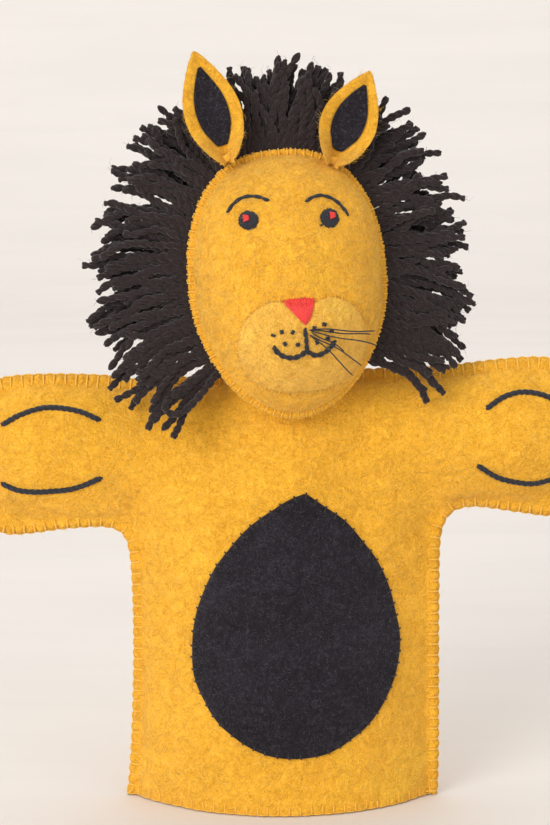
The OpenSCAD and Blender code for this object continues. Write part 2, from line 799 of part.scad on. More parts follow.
// Satin-stitched pad, sewn through the felt and standing 1.2 proud of it
module eye(sx) {
    color(black_color) eye_frame(sx) translate([0, 0, -0.6]) cylinder(r1 = eye_r, r2 = eye_r - 0.8, h = 1.8);
}

module eye_glint(sx) {
    spot = sx < 0 ? glint_spots[0] : glint_spots[1];
    color(red_color) eye_frame(sx) translate([spot[0], spot[1], 1.22]) cylinder(r = 1.1, h = 0.4);
}

module eyebrow(sx) {
    inner = sx > 0 ? [6.4 * kx, 28 * kz] : [-6.4 * kx, 29.4 * kz];
    outer = sx > 0 ? [20.4 * kx, 22.4 * kz] : [-20.8 * kx, 26.6 * kz];
    color(black_color) head_frame()
        face_thread([for (i = [0 : 8]) bowed(inner, outer, 4, i / 8)], 0.7, 0, 0.3);
}

// ---------- ears ----------

// Almond between two arcs, point up, with its foot at the origin
module almond(w, h) {
    r = (w * w / 4 + h * h / 4) / w;
    intersection() {
        translate([r - w / 2, h / 2]) circle(r);
        translate([w / 2 - r, h / 2]) circle(r);
    }
}

ear_cup_r = 20;                          // radius that the ear is cupped to
ear_spots = [[-18.2 * kx, 42.6 * kz, -13], [17.2 * kx, 40.4 * kz, 27]];     // x and z of the foot, and lean outwards
ear_shares = [1, 0.88];                 // the right ear is pinched a little shorter

// Puts what is drawn about the foot of an ear where that ear is, facing -y
module ear_frame(sx) {
    spot = sx < 0 ? ear_spots[0] : ear_spots[1];
    head_frame() translate([spot[0], -4.4, spot[1]]) rotate([0, spot[2], 0]) rotate([4, 0, 0]) children();
}

function ear_len(sx) = ear_l * (sx < 0 ? ear_shares[0] : ear_shares[1]);

module cupped(w, h, from, thick) {
    intersection() {
        rotate([90, 0, 0]) translate([0, 0, -20]) linear_extrude(40) almond(w, h);
        translate([0, -ear_cup_r, -5]) difference() {
            cylinder(r = ear_cup_r - from, h = h + 10);
            translate([0, 0, -1]) cylinder(r = ear_cup_r - from - thick, h = h + 12);
            translate([-50, -100, -1]) cube([100, 100, h + 12]);
        }
    }
}

module ear(sx) {
    color(felt_color) ear_frame(sx) cupped(ear_w, ear_len(sx), 0, ear_felt);
}

module ear_lining(sx) {
    color(dark_color) ear_frame(sx)
        translate([0, 0, 4]) cupped(ear_w - 8, ear_len(sx) - 10, ear_felt + 0.02, lining_t);
}

// Knot of thread that holds the ear's foot to the head
module ear_tack(sx) {
    color(felt_color) ear_frame(sx) translate([0, -ear_felt - 0.5, 2.1]) sphere(1.4, $fn = 24);
}

// ---------- mane ----------

// One lock: a wedge from the seam outwards between directions a and b, y0 to y1 behind the seam
module lock(a, b, from, to, y0, y1) {
    p = seam_point(a, -from);
    q = seam_point(b, -from);
    s = seam_point(a, -to);
    t = seam_point(b, -to);
    polyhedron(
        [[p[0], y0, p[1]], [q[0], y0, q[1]], [t[0], y0 - 1, t[1]], [s[0], y0 - 1, s[1]],
         [p[0], y1, p[1]], [q[0], y1, q[1]], [t[0], y1 - 1, t[1]], [s[0], y1 - 1, s[1]]],
        [[0, 1, 2], [0, 2, 3], [4, 6, 5], [4, 7, 6], [0, 5, 1], [0, 4, 5],
         [1, 6, 2], [1, 5, 6], [2, 7, 3], [2, 6, 7], [3, 4, 0], [3, 7, 4]]);
}

mane_start = -17;                        // direction of the lowest lock at the right, from level
mane_end = 192;                          // and of the lowest lock at the left

// A row of locks round the head, shorter towards the right
module mane_row(count, from, length, y0, y1) {
    step = (mane_end - mane_start) / count;
    color(yarn_color) head_frame()
        for (i = [0 : count - 1])
            let (a = mane_start + i * step)
                lock(a + 0.4, a + step - 0.4, from,
                    from + length * (0.93 + 0.05 * cos(i * 137) - 0.08 * cos(a)), y0, y1);
}

module mane_front_row() {
    mane_row(15, 1.4, mane_l, 2.6, 7.4);
}

module mane_middle_row() {
    mane_row(14, -2, mane_l, 7.8, 12.4);
}

module mane_back_row() {
    mane_row(13, -4.5, mane_l - 2, 13.6, 19);
}

// Thread that holds the front row of yarn down, just behind the seam
module mane_couching() {
    color(black_color) head_frame()
        tube([for (i = [0 : 24])
            let (s = seam_point(mane_start + (mane_end - mane_start) * i / 24, -0.5))
                [s[0], 2 * head_felt + 0.3, s[1]]], thread / 2);
}

// ---------- assembly ----------

module placed() {
    translate([0, seam_y, 0]) children();
}

placed() torso_front_panel();
placed() torso_back_panel();
placed() tummy_patch();
placed() tummy_patch_stitches();
placed() side_stitches(-1);  // left_side_stitches
placed() side_stitches(1);  // right_side_stitches
placed() shoulder_stitches(-1);  // left_shoulder_stitches
placed() shoulder_stitches(1);  // right_shoulder_stitches
placed() hem_stitches(-1);  // front_hem_stitches
placed() hem_stitches(1);  // back_hem_stitches
placed() arm_panel(-1, -1);  // left_arm_front_panel
placed() arm_panel(-1, 1);  // left_arm_back_panel
placed() arm_stitches(-1);  // left_arm_stitches
placed() paw_panel(-1, -1);  // left_paw_front_panel
placed() paw_panel(-1, 1);  // left_paw_back_panel
placed() paw_stitches(-1);  // left_paw_stitches
placed() toe_lines(-1);  // left_toe_lines
placed() arm_panel(1, -1);  // right_arm_front_panel
placed() arm_panel(1, 1);  // right_arm_back_panel
placed() arm_stitches(1);  // right_arm_stitches
placed() paw_panel(1, -1);  // right_paw_front_panel
placed() paw_panel(1, 1);  // right_paw_back_panel
placed() paw_stitches(1);  // right_paw_stitches
placed() toe_lines(1);  // right_toe_lines
placed() neck_collar();
placed() chin_tack();
placed() finger_sleeve();
placed() sleeve_cap();
placed() head_stuffing();
placed() face_panel();
placed() nape_panel();
placed() head_seam_stitches();
placed() muzzle_patch();
placed() muzzle_stitches();
placed() nose();
placed() mouth();
placed() whisker_dots();
placed() whiskers();
placed() eye(-1);  // left_eye
placed() eye(1);  // right_eye
placed() eye_glint(-1);  // left_eye_glint
placed() eye_glint(1);  // right_eye_glint
placed() eyebrow(-1);  // left_eyebrow
placed() eyebrow(1);  // right_eyebrow
placed() ear(-1);  // left_ear
placed() ear_lining(-1);  // left_ear_lining
placed() ear_tack(-1);  // left_ear_tack
placed() ear(1);  // right_ear
placed() ear_lining(1);  // right_ear_lining
placed() ear_tack(1);  // right_ear_tack
placed() mane_front_row();
placed() mane_middle_row();
placed() mane_back_row();
placed() mane_couching();
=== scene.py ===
# Felt lion glove puppet: felt, stitches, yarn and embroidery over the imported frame.
# The numbers in the dictionaries are millimetres unless a note says otherwise.
import json
import math
import bpy
import numpy as np
from mathutils import Matrix, Vector
from mathutils.geometry import delaunay_2d_cdt


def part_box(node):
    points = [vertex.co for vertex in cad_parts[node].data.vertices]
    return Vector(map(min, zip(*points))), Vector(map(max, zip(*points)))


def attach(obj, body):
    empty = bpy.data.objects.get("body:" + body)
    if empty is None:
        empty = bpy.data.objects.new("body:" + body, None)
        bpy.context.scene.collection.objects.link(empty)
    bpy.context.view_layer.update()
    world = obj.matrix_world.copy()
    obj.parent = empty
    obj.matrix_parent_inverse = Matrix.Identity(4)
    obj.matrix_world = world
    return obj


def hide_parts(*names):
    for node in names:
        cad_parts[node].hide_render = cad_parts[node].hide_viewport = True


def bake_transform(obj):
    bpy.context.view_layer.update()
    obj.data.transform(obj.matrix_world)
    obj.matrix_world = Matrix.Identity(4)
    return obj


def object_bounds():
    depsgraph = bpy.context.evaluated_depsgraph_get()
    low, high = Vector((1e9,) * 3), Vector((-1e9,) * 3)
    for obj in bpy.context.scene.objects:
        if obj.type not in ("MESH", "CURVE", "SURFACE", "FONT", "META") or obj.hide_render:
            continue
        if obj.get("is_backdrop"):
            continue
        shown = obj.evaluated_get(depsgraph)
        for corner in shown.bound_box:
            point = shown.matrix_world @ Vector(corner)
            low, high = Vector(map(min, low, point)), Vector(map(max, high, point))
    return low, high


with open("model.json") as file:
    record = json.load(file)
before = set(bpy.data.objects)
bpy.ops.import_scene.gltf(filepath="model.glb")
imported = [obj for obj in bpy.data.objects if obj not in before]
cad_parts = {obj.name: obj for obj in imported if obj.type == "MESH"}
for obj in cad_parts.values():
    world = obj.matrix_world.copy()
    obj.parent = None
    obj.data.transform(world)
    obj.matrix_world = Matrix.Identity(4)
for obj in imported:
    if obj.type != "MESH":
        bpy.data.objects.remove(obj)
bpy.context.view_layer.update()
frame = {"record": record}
rng = np.random.default_rng(11)


def boxMm(node):
    low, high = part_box(node)
    return np.array(low) * 1000, np.array(high) * 1000


# Places read from the frame
leftPawLow, leftPawHigh = boxMm("left_paw_front_panel")
rightPawLow, rightPawHigh = boxMm("right_paw_front_panel")
seamLow, seamHigh = boxMm("head_seam_stitches")
joints = {joint["name"]: joint for joint in frame["record"]["behaviour"]["joints"]}
sideLow, sideHigh = boxMm("left_side_stitches")
seamY = (sideLow[1] + sideHigh[1]) / 2                      # plane of the side seams; the rest is drawn about y = 0
headMid = (seamLow + seamHigh) / 2 - [0, seamY, 0]
spread = (rightPawHigh[0] - leftPawLow[0]) / 228            # 1 at the size this was drawn for
tall = rightPawHigh[2] / 163.8
armLineZ = (leftPawLow[2] + leftPawHigh[2] + rightPawLow[2] + rightPawHigh[2]) / 4
liftX = abs(joints["right_arm_lift"]["pos_m"][0]) * 1000
swingX = abs(joints["right_paw_swing"]["pos_m"][0]) * 1000


# Small mesh helpers
def newObject(name, verts, faces, material):
    mesh = bpy.data.meshes.new(name)
    placed = (np.asarray(verts) + [0, seamY, 0]) * 0.001
    mesh.from_pydata(placed.tolist(), [], [tuple(int(i) for i in f) for f in faces])
    mesh.materials.append(material)
    mesh.shade_smooth()
    mesh.validate()
    thing = bpy.data.objects.new(name, mesh)
    bpy.context.scene.collection.objects.link(thing)
    return thing


def newBag():
    return {"verts": [], "faces": [], "count": 0}


def addTo(bag, verts, faces):
    verts = np.asarray(verts, float).reshape(-1, 3)
    bag["verts"].append(verts)
    bag["faces"].append(np.asarray(faces) + bag["count"])
    bag["count"] += len(verts)


def fromBag(name, bag, material):
    if not bag["count"]:
        return None
    verts = np.concatenate(bag["verts"])
    faces = [f for part in bag["faces"] for f in part.tolist()]
    return newObject(name, verts, faces, material)


# The piece rides on a body and stands for a node
def wear(thing, body, node):
    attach(thing, body)
    if node:
        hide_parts(node)
    return thing


def unit(v):
    v = np.asarray(v, float)
    return v / np.maximum(1e-9, np.linalg.norm(v, axis=-1, keepdims=True))


# Two directions across the path at each of its points, with no sudden turn between them
def framesAlong(path):
    along = unit(np.gradient(path, axis=0))
    ref = np.array([0.0, 0.0, 1.0]) if abs(along[0][2]) < 0.9 else np.array([0.0, 1.0, 0.0])
    last = unit(np.cross(along[0], ref))
    side = np.zeros((len(path), 3))
    for i in range(len(path)):
        last = unit(last - along[i] * np.dot(last, along[i]))
        side[i] = last
    return side, np.cross(along, side)


# Closed tube along path, narrower at its ends; radius may be a list
def addTube(bag, path, radius, sides=6, ends=0.35):
    path = np.asarray(path, float)
    n = len(path)
    radius = np.broadcast_to(np.asarray(radius, float), (n,)).copy()
    radius[[0, -1]] *= ends
    side, other = framesAlong(path)
    turn = 2 * np.pi * np.arange(sides) / sides
    round_ = np.cos(turn)[None, :, None] * side[:, None] + np.sin(turn)[None, :, None] * other[:, None]
    verts = (path[:, None] + radius[:, None, None] * round_).reshape(-1, 3)
    k, rows = np.arange(sides), np.arange(n - 1)[:, None] * sides
    after = (k + 1) % sides
    faces = np.stack([rows + k, rows + after, rows + sides + after, rows + sides + k], -1).reshape(-1, 4)
    base = bag["count"]
    bag["verts"].append(verts)
    bag["faces"].append(faces + base)
    bag["faces"].append(np.array([k[::-1], (n - 1) * sides + k]) + base)
    bag["count"] += len(verts)


# Catmull-Rom curve through points, evenly spaced
def smoothPath(points, count):
    p = np.asarray(points, float)
    p = np.concatenate([2 * p[:1] - p[1:2], p, 2 * p[-1:] - p[-2:-1]])
    fine = []
    for i in range(1, len(p) - 2):
        t = np.linspace(0, 1, 24, endpoint=False)[:, None]
        a, b, c, d = p[i - 1], p[i], p[i + 1], p[i + 2]
        fine.append(0.5 * (2 * b + (c - a) * t + (2 * a - 5 * b + 4 * c - d) * t ** 2
                           + (3 * b - a - 3 * c + d) * t ** 3))
    fine = np.concatenate(fine + [p[-2:-1]])
    return evenly(fine, count)


def evenly(line, count):
    gaps = np.linalg.norm(np.diff(line, axis=0), axis=1)
    s = np.concatenate([[0], np.cumsum(gaps)])
    want = np.linspace(0, s[-1], count)
    return np.stack([np.interp(want, s, line[:, k]) for k in range(line.shape[1])], 1)


def lengthOf(line):
    return float(np.linalg.norm(np.diff(line, axis=0), axis=1).sum())


# Smooth noise between about -1 and 1, from a few waves in random directions
def softNoise(x, z, size, seed):
    own = np.random.default_rng(seed)
    total = np.zeros(np.broadcast(x, z).shape)
    for _ in range(9):
        angle = own.uniform(0, 2 * np.pi)
        k = 2 * np.pi / (size * own.uniform(0.7, 1.6))
        total = total + np.sin(k * (x * math.cos(angle) + z * math.sin(angle)) + own.uniform(0, 6.28))
    return total / 4.5


print("helpers ready")


# Materials
# Wool felt: mottled colour, matted fibres as bump, and a soft sheen; the groove colour is the felt's darker fibre
# tone plus painted shade in the low places of the bump
def feltMaterial(name, colour, look):
    m = bpy.data.materials.new(name)
    m.use_nodes = True
    nodes, links = m.node_tree.nodes, m.node_tree.links
    shader = nodes["Principled BSDF"]
    shader.inputs["Roughness"].default_value = 0.92
    shader.inputs["Specular IOR Level"].default_value = 0.12
    shader.inputs["Sheen Weight"].default_value = look["sheen"]
    shader.inputs["Sheen Roughness"].default_value = 0.45
    shader.inputs["Sheen Tint"].default_value = (*look["sheenTint"], 1)
    place = nodes.new("ShaderNodeTexCoord")

    def noiseNode(scale, detail, rough, distortion):
        n = nodes.new("ShaderNodeTexNoise")
        n.inputs["Scale"].default_value = scale
        n.inputs["Detail"].default_value = detail
        n.inputs["Roughness"].default_value = rough
        n.inputs["Distortion"].default_value = distortion
        links.new(place.outputs["Object"], n.inputs["Vector"])
        return n

    patches = noiseNode(38, 3, 0.55, 0.4)
    clumps = noiseNode(210, 4, 0.65, 1.6)
    fibres = noiseNode(620, 5, 0.7, 3.2)
    hairs = noiseNode(330, 2, 0.5, 6.5)

    def ramp(source, stops):
        r = nodes.new("ShaderNodeValToRGB")
        r.color_ramp.elements[0].position, r.color_ramp.elements[0].color = stops[0][0], (*stops[0][1], 1)
        r.color_ramp.elements[1].position, r.color_ramp.elements[1].color = stops[-1][0], (*stops[-1][1], 1)
        for at, tint in stops[1:-1]:
            e = r.color_ramp.elements.new(at)
            e.color = (*tint, 1)
        links.new(source, r.inputs["Fac"])
        return r.outputs["Color"]

    def mix(kind, fac, a, b):
        n = nodes.new("ShaderNodeMix")
        n.data_type = "RGBA"
        n.blend_type = kind
        if isinstance(fac, float):
            n.inputs[0].default_value = fac
        else:
            links.new(fac, n.inputs[0])
        links.new(a, n.inputs[6])
        links.new(b, n.inputs[7])
        return n.outputs[2]

    c = np.array(colour)
    raised = (look["lift"],) * 3
    base = ramp(patches.outputs["Fac"],
                [(0.3, c * look["dark"]), (0.55, c), (0.75, np.minimum(1, c * look["light"]))])
    # painted shade: the groove colour darkens the clumps and fibres where the bump height below is low, on top of
    # their own darker tone
    grain = ramp(clumps.outputs["Fac"], [(0.3, look["grooveShade"]), (0.5, (0.96, 0.95, 0.92)), (0.72, raised)])
    fine = ramp(fibres.outputs["Fac"], [(0.34, look["grooveShade"]), (0.5, (1, 1, 1)), (0.64, raised)])
    colourOut = mix("MULTIPLY", look["clump"], base, grain)
    colourOut = mix("MULTIPLY", look["fine"], colourOut, fine)
    strays = ramp(hairs.outputs["Fac"], [(0.485, (0, 0, 0)), (0.5, (1, 1, 1)), (0.515, (0, 0, 0))])
    rare = ramp(clumps.outputs["Fac"], [(0.52, (0, 0, 0)), (0.62, (1, 1, 1))])
    strayMask = mix("MULTIPLY", 1.0, strays, rare)
    tint = nodes.new("ShaderNodeRGB")
    tint.outputs[0].default_value = (*look["stray"], 1)
    gain = nodes.new("ShaderNodeMath")
    gain.operation = "MULTIPLY"
    gain.inputs[1].default_value = look["strays"]
    links.new(strayMask, gain.inputs[0])
    colourOut = mix("MIX", gain.outputs[0], colourOut, tint.outputs[0])
    links.new(colourOut, shader.inputs["Base Color"])
    height = nodes.new("ShaderNodeMath")
    height.operation = "MULTIPLY_ADD"
    links.new(fibres.outputs["Fac"], height.inputs[0])
    height.inputs[1].default_value = 0.45
    links.new(clumps.outputs["Fac"], height.inputs[2])
    bump = nodes.new("ShaderNodeBump")
    bump.inputs["Strength"].default_value = look["bump"]
    bump.inputs["Distance"].default_value = 0.0016
    links.new(height.outputs[0], bump.inputs["Height"])
    links.new(bump.outputs["Normal"], shader.inputs["Normal"])
    return m


# Stranded cotton: fine lines across the ply, a little shine and uneven dye
def threadMaterial(name, colour, look):
    m = bpy.data.materials.new(name)
    m.use_nodes = True
    nodes, links = m.node_tree.nodes, m.node_tree.links
    shader = nodes["Principled BSDF"]
    shader.inputs["Roughness"].default_value = look["rough"]
    shader.inputs["Specular IOR Level"].default_value = look["shine"]
    shader.inputs["Sheen Weight"].default_value = look["sheen"]
    place = nodes.new("ShaderNodeTexCoord")
    dye = nodes.new("ShaderNodeTexNoise")
    dye.inputs["Scale"].default_value = look["grain"]
    dye.inputs["Detail"].default_value = 4
    dye.inputs["Distortion"].default_value = 1.5
    links.new(place.outputs["Object"], dye.inputs["Vector"])
    shade = nodes.new("ShaderNodeValToRGB")
    c = np.array(colour)
    shade.color_ramp.elements[0].position = 0.32
    shade.color_ramp.elements[0].color = (*(c * look["dark"]), 1)
    shade.color_ramp.elements[1].position = 0.7
    shade.color_ramp.elements[1].color = (*np.minimum(1, c * look["light"]), 1)
    links.new(dye.outputs["Fac"], shade.inputs["Fac"])
    links.new(shade.outputs["Color"], shader.inputs["Base Color"])
    bump = nodes.new("ShaderNodeBump")
    bump.inputs["Strength"].default_value = look["bump"]
    bump.inputs["Distance"].default_value = 0.0004
    links.new(dye.outputs["Fac"], bump.inputs["Height"])
    links.new(bump.outputs["Normal"], shader.inputs["Normal"])
    return m


def linear(r, g, b):
    return tuple(((v / 255 + 0.055) / 1.055) ** 2.4 if v > 10 else v / 255 / 12.92 for v in (r, g, b))


# groove: darker fibre tone with painted shade in the bump's low places
mustardLook = {"sheen": 0.25, "sheenTint": (1.0, 0.86, 0.5), "dark": 0.88, "light": 1.1, "clump": 0.5, "fine": 0.8,
               "stray": linear(255, 218, 128), "strays": 0.7, "bump": 0.9, "grooveShade": (0.70, 0.55, 0.34), "lift": 1.25}
charcoalLook = {"sheen": 0.10, "sheenTint": (0.7, 0.7, 0.8), "dark": 0.7, "light": 1.3, "clump": 0.45, "fine": 0.9,
                "stray": linear(112, 110, 120), "strays": 0.55, "bump": 1.0, "grooveShade": (0.5, 0.48, 0.5), "lift": 1.9}
yarnLook = {"rough": 0.95, "shine": 0.1, "sheen": 0.2, "grain": 900, "dark": 0.6, "light": 1.5, "bump": 0.6}
threadLook = {"rough": 0.6, "shine": 0.35, "sheen": 0.15, "grain": 1600, "dark": 0.75, "light": 1.2, "bump": 0.5}
mustard = feltMaterial("mustardFelt", linear(254, 188, 56), mustardLook)
muzzleFelt = feltMaterial("muzzleFelt", linear(255, 197, 82), mustardLook)
charcoal = feltMaterial("charcoalFelt", linear(40, 36, 42), charcoalLook)
fillLook = {**mustardLook, "stray": linear(255, 255, 250), "grooveShade": (0.7, 0.68, 0.64)}
fillWool = feltMaterial("woolFill", linear(236, 230, 216), fillLook)
mustardThread = threadMaterial("mustardThread", linear(251, 185, 60), threadLook)
blackThread = threadMaterial("blackThread", linear(26, 28, 38), {**threadLook, "shine": 0.45})
charcoalThread = threadMaterial("charcoalThread", linear(36, 31, 37), threadLook)
redThread = threadMaterial("redThread", linear(232, 50, 44), {**threadLook, "rough": 0.45, "shine": 0.5})
yarn = threadMaterial("woolYarn", linear(46, 38, 38), yarnLook)
lightFuzz = threadMaterial("lightFuzz", linear(255, 214, 118), {**yarnLook, "dark": 0.85, "light": 1.2})
mustardFuzz = threadMaterial("mustardFuzz", linear(246, 184, 72), {**yarnLook, "dark": 0.7, "light": 1.4})
greyFuzz = threadMaterial("greyFuzz", linear(92, 88, 96), {**yarnLook, "dark": 0.5, "light": 1.3})
yarnFuzz = threadMaterial("yarnFuzz", linear(78, 66, 64), {**yarnLook, "dark": 0.6, "light": 1.3})
print("materials ready")


# Camera, floor and light
view = {"distance": 920, "pitch": 9, "targetX": -2.5, "targetZ": 143.1 * tall, "lens": 111.52}
pitch = math.radians(view["pitch"])
camera = bpy.data.objects.new("camera", bpy.data.cameras.new("camera"))
bpy.context.scene.collection.objects.link(camera)
camera.data.lens = view["lens"]
camera.data.sensor_width = 36
camera.location = Vector((view["targetX"], seamY - view["distance"] * math.cos(pitch),
                          view["targetZ"] + view["distance"] * math.sin(pitch))) * 0.001
camera.rotation_euler = (math.pi / 2 - pitch, 0, 0)
bpy.context.scene.camera = camera


def plainMaterial(name, colour, tone, scale):
    m = bpy.data.materials.new(name)
    m.use_nodes = True
    nodes, links = m.node_tree.nodes, m.node_tree.links
    shader = nodes["Principled BSDF"]
    shader.inputs["Roughness"].default_value = 0.7
    shader.inputs["Specular IOR Level"].default_value = 0.15
    place = nodes.new("ShaderNodeTexCoord")
    stretch = nodes.new("ShaderNodeMapping")
    stretch.inputs["Scale"].default_value = (0.6, 3, 5)
    links.new(place.outputs["Object"], stretch.inputs["Vector"])
    cloud = nodes.new("ShaderNodeTexNoise")
    cloud.inputs["Scale"].default_value = scale
    cloud.inputs["Detail"].default_value = 5
    cloud.inputs["Distortion"].default_value = 0.6
    links.new(stretch.outputs[0], cloud.inputs["Vector"])
    shade = nodes.new("ShaderNodeValToRGB")
    shade.color_ramp.elements[0].position = 0.35
    shade.color_ramp.elements[0].color = (*(np.array(colour) * tone), 1)
    shade.color_ramp.elements[1].position = 0.62
    shade.color_ramp.elements[1].color = (*colour, 1)
    links.new(cloud.outputs["Fac"], shade.inputs["Fac"])
    links.new(shade.outputs["Color"], shader.inputs["Base Color"])
    return m


# the sheet the puppet stands on runs far back before it curves up, so that it never comes between camera and puppet
stageLook = {"side": 5000, "front": -4000, "bendFrom": 1500, "bend": 900, "top": 3500, "colour": (0.82, 0.785, 0.75)}
turns = np.radians(np.linspace(0, 90, 25))
bendY = stageLook["bendFrom"] + stageLook["bend"] * np.sin(turns)
bendZ = stageLook["bend"] * (1 - np.cos(turns))
sweep = [(stageLook["front"], 0), *zip(bendY, bendZ), (bendY[-1], stageLook["top"])]
backdrop = newObject("backdrop", [(side * stageLook["side"], y, z) for y, z in sweep for side in (-1, 1)],
                     [(2 * k, 2 * k + 1, 2 * k + 3, 2 * k + 2) for k in range(len(sweep) - 1)],
                     plainMaterial("backdropPaint", stageLook["colour"], 0.97, 6))
backdrop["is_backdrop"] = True


def areaLight(name, place, aim, size, power, colour):
    light = bpy.data.lights.new(name, "AREA")
    light.shape = "DISK"
    light.size = size
    light.energy = power
    light.color = colour
    thing = bpy.data.objects.new(name, light)
    bpy.context.scene.collection.objects.link(thing)
    thing.location = place
    thing.visible_camera = False
    thing.rotation_euler = (Vector(aim) - Vector(place)).to_track_quat("-Z", "Y").to_euler()
    return thing


lights = {"key": 30.5, "fill": 3.4, "back": 13, "sky": 0.71}
areaLight("keyLight", (-1.15, -1.75, 0.85), (0, 0, 0.14), 1.5, lights["key"], (1, 0.985, 0.96))
areaLight("backLight", (0, 0.9, 1.9), (0, 2.0, 0.3), 2.2, lights["back"], (1, 0.98, 0.96))
areaLight("fillLight", (1.3, -1.3, 0.8), (0, 0, 0.14), 1.4, lights["fill"], (0.97, 0.98, 1))
world = bpy.data.worlds.new("room")
bpy.context.scene.world = world
world.use_nodes = True
world.node_tree.nodes["Background"].inputs["Color"].default_value = (1, 0.985, 0.97, 1)
world.node_tree.nodes["Background"].inputs["Strength"].default_value = lights["sky"]
bpy.context.scene.view_settings.view_transform = "Standard"
print("stage ready")


# Glove: outline and depth
glove = {
    "felt": 2.4, "hemDepth": 27, "waistDepth": 16.5, "neckDepth": 12.5, "armDepth": 11,
    "pitch": 3.95, "scallop": 0.6, "grid": 1.7,
}
# corner points of the flat shape from the hem's left end, round the left arm and the top, to the hem's right end
gloveCorners = [
    (-56.9, 0.35), (-56.0, 6), (-55.1, 18), (-54.3, 36), (-53.9, 55), (-54.0, 74), (-54.7, 88),
    (-56.0, 95.5), (-58.6, 99.3), (-62.6, 100.9), (-68, 101.2), (-80, 100.3), (-91, 98.8), (-100, 98.6),
    (-106.5, 102.2), (-111.2, 109), (-113.6, 118), (-114, 128), (-113.2, 139), (-110, 148.2), (-104.6, 154),
    (-97, 156.3), (-83, 157.1), (-65, 156.7), (-51, 155.3), (-36, 155.9), (-22, 156.8), (0, 157.4),
    (22, 158.6), (38, 159.2), (60, 160.4), (78, 162.5), (92, 163.3), (102, 161.6), (109, 156.4),
    (112.8, 148), (114, 138), (113.6, 126), (111, 115.6), (105.6, 108.2), (97, 105.4), (86, 106.6),
    (72, 108.6), (65.2, 108.2), (60.9, 106), (58.1, 101), (57.0, 93), (56.9, 74), (57.0, 55), (57.2, 36),
    (57.3, 18), (57.2, 6), (57.0, 0.35),
]
flatShape = np.array(gloveCorners) * [spread, tall]
edgeStep = glove["pitch"] / 6
edgeCount = int(lengthOf(smoothPath(flatShape, 900)) / edgeStep)
gloveEdge = smoothPath(flatShape, edgeCount)
hemEdge = evenly(np.array([gloveEdge[-1], gloveEdge[0]]), int((gloveEdge[-1][0] - gloveEdge[0][0]) / edgeStep))[1:-1]
rim = np.concatenate([gloveEdge, hemEdge])
rimGap = np.linalg.norm(np.roll(rim, -1, 0) - rim, axis=1)
rimAt = np.concatenate([[0], np.cumsum(rimGap)[:-1]])
rimAlong = unit(np.roll(rim, -1, 0) - np.roll(rim, 1, 0))
rimIn = np.stack([rimAlong[:, 1], -rimAlong[:, 0]], 1)      # the shape is walked clockwise, so this points inwards
onHem = np.arange(len(rim)) >= len(gloveEdge)
onNeck = (np.abs(rim[:, 0]) < 21 * spread) & (rim[:, 1] > 150 * tall)
wave = np.abs(np.sin(np.pi * rimAt / glove["pitch"])) ** 0.8
pull = glove["scallop"] * (1 - wave)
pull[onNeck] = 0
pull[onHem] *= 0.6
scalloped = rim + rimIn * pull[:, None]


# Half depth of the body's hand space plus the felt, in front of the seam plane
def trunkDepth(x, z):
    z = np.clip(z / tall, 0, 165)
    d = np.where(z < 120, glove["hemDepth"] + (glove["waistDepth"] - glove["hemDepth"]) * z / 120,
                 glove["waistDepth"] + (glove["neckDepth"] - glove["waistDepth"]) * (z - 120) / 42)
    w = np.interp(z, [0, 120, 150, 165], [53.1, 52.1, 29, 23]) * spread
    r = (w * w + d * d) / (2 * d)
    return np.sqrt(np.maximum(0, (r + glove["felt"]) ** 2 - x * x)) - r + d


def armDepthAt(x, z):
    dz = (z - (armLineZ + x * math.tan(math.radians(2.1)))) * 0.98
    h = 24.8
    r = (h * h + glove["armDepth"] ** 2) / (2 * glove["armDepth"])
    beyond = np.maximum(0, np.abs(x) - (110.4 * spread - h))
    across = np.sqrt(dz * dz + beyond * beyond)
    return np.sqrt(np.maximum(0, (r + glove["felt"]) ** 2 - across ** 2)) - r + glove["armDepth"]


# soft creases: from, to, depth and half width
creases = [
    ((-57, 104), (-44, 122), 1.5, 5.0), ((-47, 124), (-43, 150), 1.1, 6.5), ((57, 108), (45, 124), 1.5, 5.0),
    ((47, 128), (42, 152), 1.1, 6.5), ((-30, 118), (-8, 122), 0.7, 5), ((8, 121), (34, 117), 0.8, 5),
    ((-50, 88), (-36, 66), 0.6, 6), ((50, 84), (46, 52), 0.6, 6), ((-16, 140), (-34, 134), 0.9, 5),
    ((24, 141), (38, 136), 0.8, 5),
]


def gloveDepth(x, z, side):
    t, a = trunkDepth(x, z), armDepthAt(x, z)
    k = 3.2
    depth = np.log(np.exp(np.clip(t, -30, 60) / k) + np.exp(np.clip(a, -30, 60) / k)) * k - k * 0.32
    seed = 5 if side < 0 else 17
    depth = depth + 0.55 * softNoise(x, z, 26, seed) + 0.16 * softNoise(x, z, 8, seed + 1)
    for (x0, z0), (x1, z1), deep, wide in creases:
        if side > 0:
            deep, x0, x1 = deep * 0.8, -x0, -x1
        d = np.array([x1 - x0, z1 - z0], float)
        u = np.clip(((x - x0) * d[0] + (z - z0) * d[1]) / (d @ d), 0, 1)
        away = np.hypot(x - x0 - u * d[0], z - z0 - u * d[1])
        depth = depth - deep * np.exp(-(away / wide) ** 2) * np.sin(np.pi * np.clip(u, 0.15, 0.85))
    return np.maximum(depth, glove["felt"] * 0.96)


# Distance to the rim and where along it, for every point
def nearRim(points):
    away = np.empty(len(points))
    which = np.empty(len(points), int)
    for i in range(0, len(points), 2000):
        part = points[i:i + 2000]
        d = ((part[:, None] - scalloped[None]) ** 2).sum(-1)
        which[i:i + 2000] = d.argmin(1)
        away[i:i + 2000] = np.sqrt(d.min(1))
    return away, which


